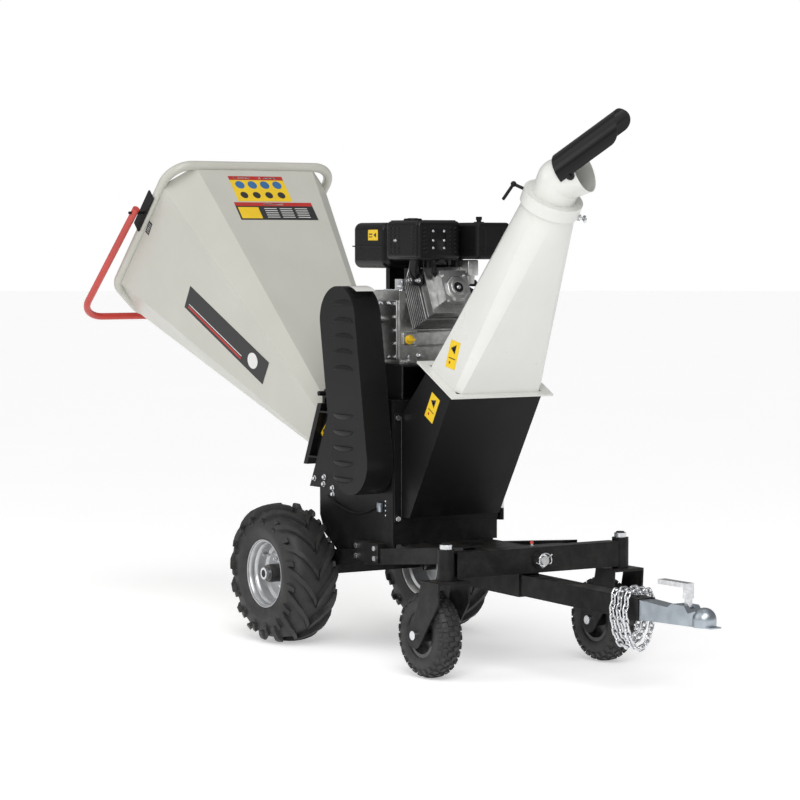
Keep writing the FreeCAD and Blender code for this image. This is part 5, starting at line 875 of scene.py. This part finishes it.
def engine_caps():
    """The ribbed black fuel cap and the winged yellow oil filler cap."""
    caps_low, caps_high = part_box("engine_caps")
    foot = Vector((caps_low.x + 0.030, caps_high.y - 0.030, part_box("fuel_tank")[1].z))
    form = bmesh.new()
    drum(form, foot, (0, 0, 1), 0.0285, 0.0145, 48, 0.0270)
    for step in range(18):
        turn = math.tau * step / 18
        spot = foot + Vector((0.0278 * math.cos(turn), 0.0278 * math.sin(turn), 0.001))
        drum(form, spot, (0, 0, 1), 0.0026, 0.0125, 8, 0.0020)
    drum(form, foot + Vector((0, 0, 0.0140)), (0, 0, 1), 0.0180, 0.0018, 36, 0.0165)
    cap = smoothed(fit(form, "fuel_cap", "black_plastic", "chassis"))
    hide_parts("engine_caps")
    seat = Vector((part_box("crankcase")[1].x + 0.005, caps_low.y + 0.015, caps_low.z + 0.015))
    form = bmesh.new()
    drum(form, seat, (1, 0, 0), 0.0150, 0.0060, 32)
    drum(form, seat + Vector((0.006, 0, 0)), (1, 0, 0), 0.0120, 0.0060, 32, 0.0100)
    block(form, seat + Vector((0.008, -0.0125, -0.0035)), seat + Vector((0.020, 0.0125, 0.0035)))
    smoothed(fit(form, "oil_cap", "yellow_cap", "chassis"))


def engine_fittings():
    """The carburettor and its bowl, the spark plug boot and lead, the fuel line and the control rods."""
    clean_low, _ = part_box("air_cleaner")
    head_low, head_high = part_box("rocker_cover")
    form = bmesh.new()
    body_low = Vector((clean_low.x + 0.030, clean_low.y + 0.020, clean_low.z - 0.052))
    block(form, body_low, body_low + Vector((0.060, 0.040, 0.050)))
    soften(form, 0.004)
    drum(form, body_low + Vector((0.030, 0.020, -0.026)), (0, 0, 1), 0.019, 0.028, 36, 0.021)
    drum(form, body_low + Vector((0.030, 0.020, -0.029)), (0, 0, 1), 0.006, 0.004, 6)
    smoothed(fit(form, "carburettor", "engine_alloy", "chassis"))
    form = bmesh.new()
    seat = Vector((head_low.x + 0.010, head_low.y + 0.012, head_high.z - 0.020))
    aim = Vector((0.35, -0.75, 0.55)).normalized()
    drum(form, seat, aim, 0.009, 0.030, 24, 0.0075)
    drum(form, seat + aim * 0.024, Vector((0.2, -0.1, 1.0)), 0.0085, 0.024, 24, 0.0060)
    smoothed(fit(form, "plug_boot", "black_plastic", "chassis"))
    start = seat + aim * 0.030 + Vector((0.004, 0.0, 0.020))
    tube("plug_lead", [start, start + Vector((0.008, 0.010, 0.020)), start + Vector((-0.02, 0.060, 0.020)),
                       start + Vector((-0.08, 0.110, -0.012)), start + Vector((-0.130, 0.140, -0.050))],
         0.0034, "black_plastic", "chassis")
    tube("fuel_line", [(0.100, 0.090, 1.232), (0.110, 0.095, 1.214), (0.170, 0.100, 1.205),
                       (0.235, 0.070, 1.226), (0.255, 0.062, 1.236)], 0.0036, "black_plastic", "chassis")
    tube("governor_rod", [(0.165, -0.060, 1.185), (0.200, -0.040, 1.215), (0.262, 0.045, 1.238)],
         0.0015, "zinc", "chassis")
    tube("throttle_rod", [(0.150, -0.095, 1.168), (0.172, -0.098, 1.215), (0.176, -0.090, 1.250)],
         0.0022, "zinc", "chassis")
    form = bmesh.new()
    block(form, (0.118, -0.112, 1.150), (0.160, -0.108, 1.196))
    block(form, (0.060, -0.118, 1.158), (0.150, -0.090, 1.163))
    fit(form, "control_plate", "zinc", "chassis")
    form = bmesh.new()
    for x, z in ((0.126, 1.160), (0.152, 1.186), (0.140, 1.172)):
        hex_bolt(form, (x, -0.112, z), (0, -1, 0), 0.009, 0.005)
    fit(form, "control_screws", "zinc", "chassis")


# ---------------------------------------------------------------- frame details

def beam_details():
    """The grease nipple on the front beam and the ring pin through the pivot's end."""
    low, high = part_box("front_beam")
    form = bmesh.new()
    foot = Vector(((low.x + high.x) / 2, -0.012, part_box("crossmember")[1].z + 0.004))
    drum(form, foot, (0, 0, 1), 0.0060, 0.007, 6)
    drum(form, foot + Vector((0, 0, 0.007)), (0, 0, 1), 0.0035, 0.006, 16)
    fit(form, "grease_nipple", "zinc", "front_beam")
    form = bmesh.new()
    drum(form, foot + Vector((0, 0, 0.011)), (0, 0, 1), 0.0060, 0.008, 20, 0.0045)
    fit(form, "nipple_cap", "red_powder", "front_beam")
    pin_low, pin_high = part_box("beam_pivot_pin")
    centre = Vector((pin_high.x - 0.004, 0.0, (pin_low.z + pin_high.z) / 2))
    ring = [centre + Vector((0.004, 0.024 * math.cos(turn), 0.024 * math.sin(turn)))
            for turn in (-0.6, 0.1, 0.8, 1.5, 2.2, 2.9, 3.6, 4.3)]
    tube("ring_pin", [centre + Vector((0.0, -0.020, 0.0)), centre] + ring, 0.0019, "zinc", "chassis")
    legs = [centre + Vector(step) for step in ((0.001, 0.028, 0.018), (0, 0, 0), (0.002, -0.026, -0.012),
                                               (0.006, -0.034, -0.004))]
    tube("split_pin", legs, 0.0016, "zinc", "chassis")


def switch_lead():
    """The short lead clipped along the housing below the belt cover, and its plug."""
    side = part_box("belt_guard_back")[1].y
    points = [(-0.150, side - 0.010, 0.486), (-0.132, side - 0.005, 0.470), (-0.070, side - 0.004, 0.452),
              (0.013, side - 0.004, 0.437), (0.080, side - 0.004, 0.448), (0.125, side - 0.005, 0.466),
              (0.152, side - 0.006, 0.470)]
    tube("switch_lead", points, 0.0036, "black_plastic", "chassis")
    form = bmesh.new()
    block(form, (0.150, side - 0.012, 0.456), (0.172, side, 0.486))
    block(form, (0.146, side - 0.010, 0.461), (0.151, side - 0.001, 0.481))
    soften(form, 0.0014, 2)
    smoothed(fit(form, "lead_plug", "satin_zinc", "chassis"))
    form = bmesh.new()
    for z in (0.447, 0.462, 0.478, 0.492):
        drum(form, (0.186, side, z), (0, -1, 0), 0.0032, 0.002, 16)
    fit(form, "plate_rivets", "zinc", "chassis")
    form = bmesh.new()
    for x, z in ((-0.250, 0.535), (-0.188, 0.543), (-0.192, 0.520), (-0.136, 0.511), (-0.134, 0.490)):
        hex_bolt(form, (x, side, z), (0, -1, 0), 0.014, 0.006)
    fit(form, "housing_bolts", "zinc", "chassis")


def weld_run(form, start, end, pitch=0.0042, radius=0.0026):
    """A rippled weld bead between two points."""
    start, end = Vector(start), Vector(end)
    count = int((end - start).length / pitch)
    along = (end - start).normalized()
    ripple = Matrix.Diagonal((radius, radius, radius * 1.3, 1))
    turn = along.to_track_quat("Z", "Y").to_matrix().to_4x4() @ ripple
    for step in range(count + 1):
        spot = Matrix.Translation(start + along * pitch * step)
        bmesh.ops.create_uvsphere(form, u_segments=10, v_segments=6, radius=1.0, matrix=spot @ turn)


def welds():
    """Weld beads down the engine stand's corner and the duct's front edge."""
    low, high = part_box("engine_stand")
    form = bmesh.new()
    weld_run(form, (high.x, low.y, low.z + 0.006), (high.x, low.y, high.z - 0.006))
    fit(form, "stand_weld", "black_powder", "chassis", finish="black_enamel")
    form = bmesh.new()
    weld_run(form, (0.2505, -0.1725, 0.450), (0.2505, -0.1725, 0.762))
    fit(form, "duct_weld", "black_powder", "discharge_door", finish="black_enamel")


def exhaust_elbow():
    """The dark pipe that bends from the cylinder head up to the muffler."""
    head_low, head_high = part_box("cylinder")
    guard_low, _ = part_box("muffler")
    foot = Vector((head_high.x - 0.086, head_low.y - 0.004, head_high.z - 0.030))
    points = [foot + Vector((-0.012, 0.030, -0.020)), foot, foot + Vector((0.006, -0.016, 0.028)),
              Vector((foot.x + 0.022, foot.y - 0.016, guard_low.z + 0.006))]
    tube("exhaust_elbow", points, 0.017, "black_enamel", "chassis", sides=24)
    form = bmesh.new()
    block(form, foot + Vector((-0.034, -0.004, -0.028)), foot + Vector((0.034, 0.006, 0.006)))
    soften(form, 0.003)
    smoothed(fit(form, "exhaust_flange", "black_enamel", "chassis"))
    form = bmesh.new()
    for step in (-0.025, 0.025):
        hex_bolt(form, foot + Vector((step, -0.004, -0.011)), (0, -1, 0), 0.012, 0.007, 1.3, 0.006)
    fit(form, "exhaust_nuts", "zinc", "chassis")


def collar_bolt():
    """The wing bolt that pinches the spout's collar, opposite its lever."""
    form = bmesh.new()
    aim = Vector((0.401, 0.879, -0.256)).normalized()
    seat = Vector((0.802, 0.0, 1.411)) + aim * 0.0925
    drum(form, seat, aim, 0.010, 0.006, 24)
    drum(form, seat + aim * 0.006, aim, 0.0045, 0.020, 18)
    side = aim.cross(Vector((0.537, 0.0, 0.843))).normalized()
    for way in (1, -1):
        drum(form, seat + aim * 0.014, aim * 0.45 + side * way, 0.0042, 0.018, 14, 0.0050)
    smoothed(fit(form, "collar_bolt", "zinc", "spout"))


# ---------------------------------------------------------------- order of work

def finish_nodes():
    """Gives every CAD node the finish of its slot, or its own."""
    own = {"chute_tower": "white_powder", "spout": "white_powder", "hopper_hoop": "grey_powder",
           "discharge_duct": "black_powder", "deflector": "black_enamel"}
    for name, thing in nodes.items():
        for slot in thing.material_slots:
            given = own.get(name) or slot.material.name.split(".")[0]
            slot.material = FINISHES[given]


finish_nodes()
make_studio()
for side, name in ((-1, "right"), (1, "left")):
    rear_tyre(name)
    rear_rim(side, name)
    caster_tyre(name)
belt_cover_louvres()
hopper_labels()
machine_labels()
muffler_guard()
air_cleaner_trim()
rocker_dome()
crankcase_parts()
engine_caps()
engine_fittings()
beam_details()
switch_lead()
welds()
collar_bolt()
exhaust_elbow()
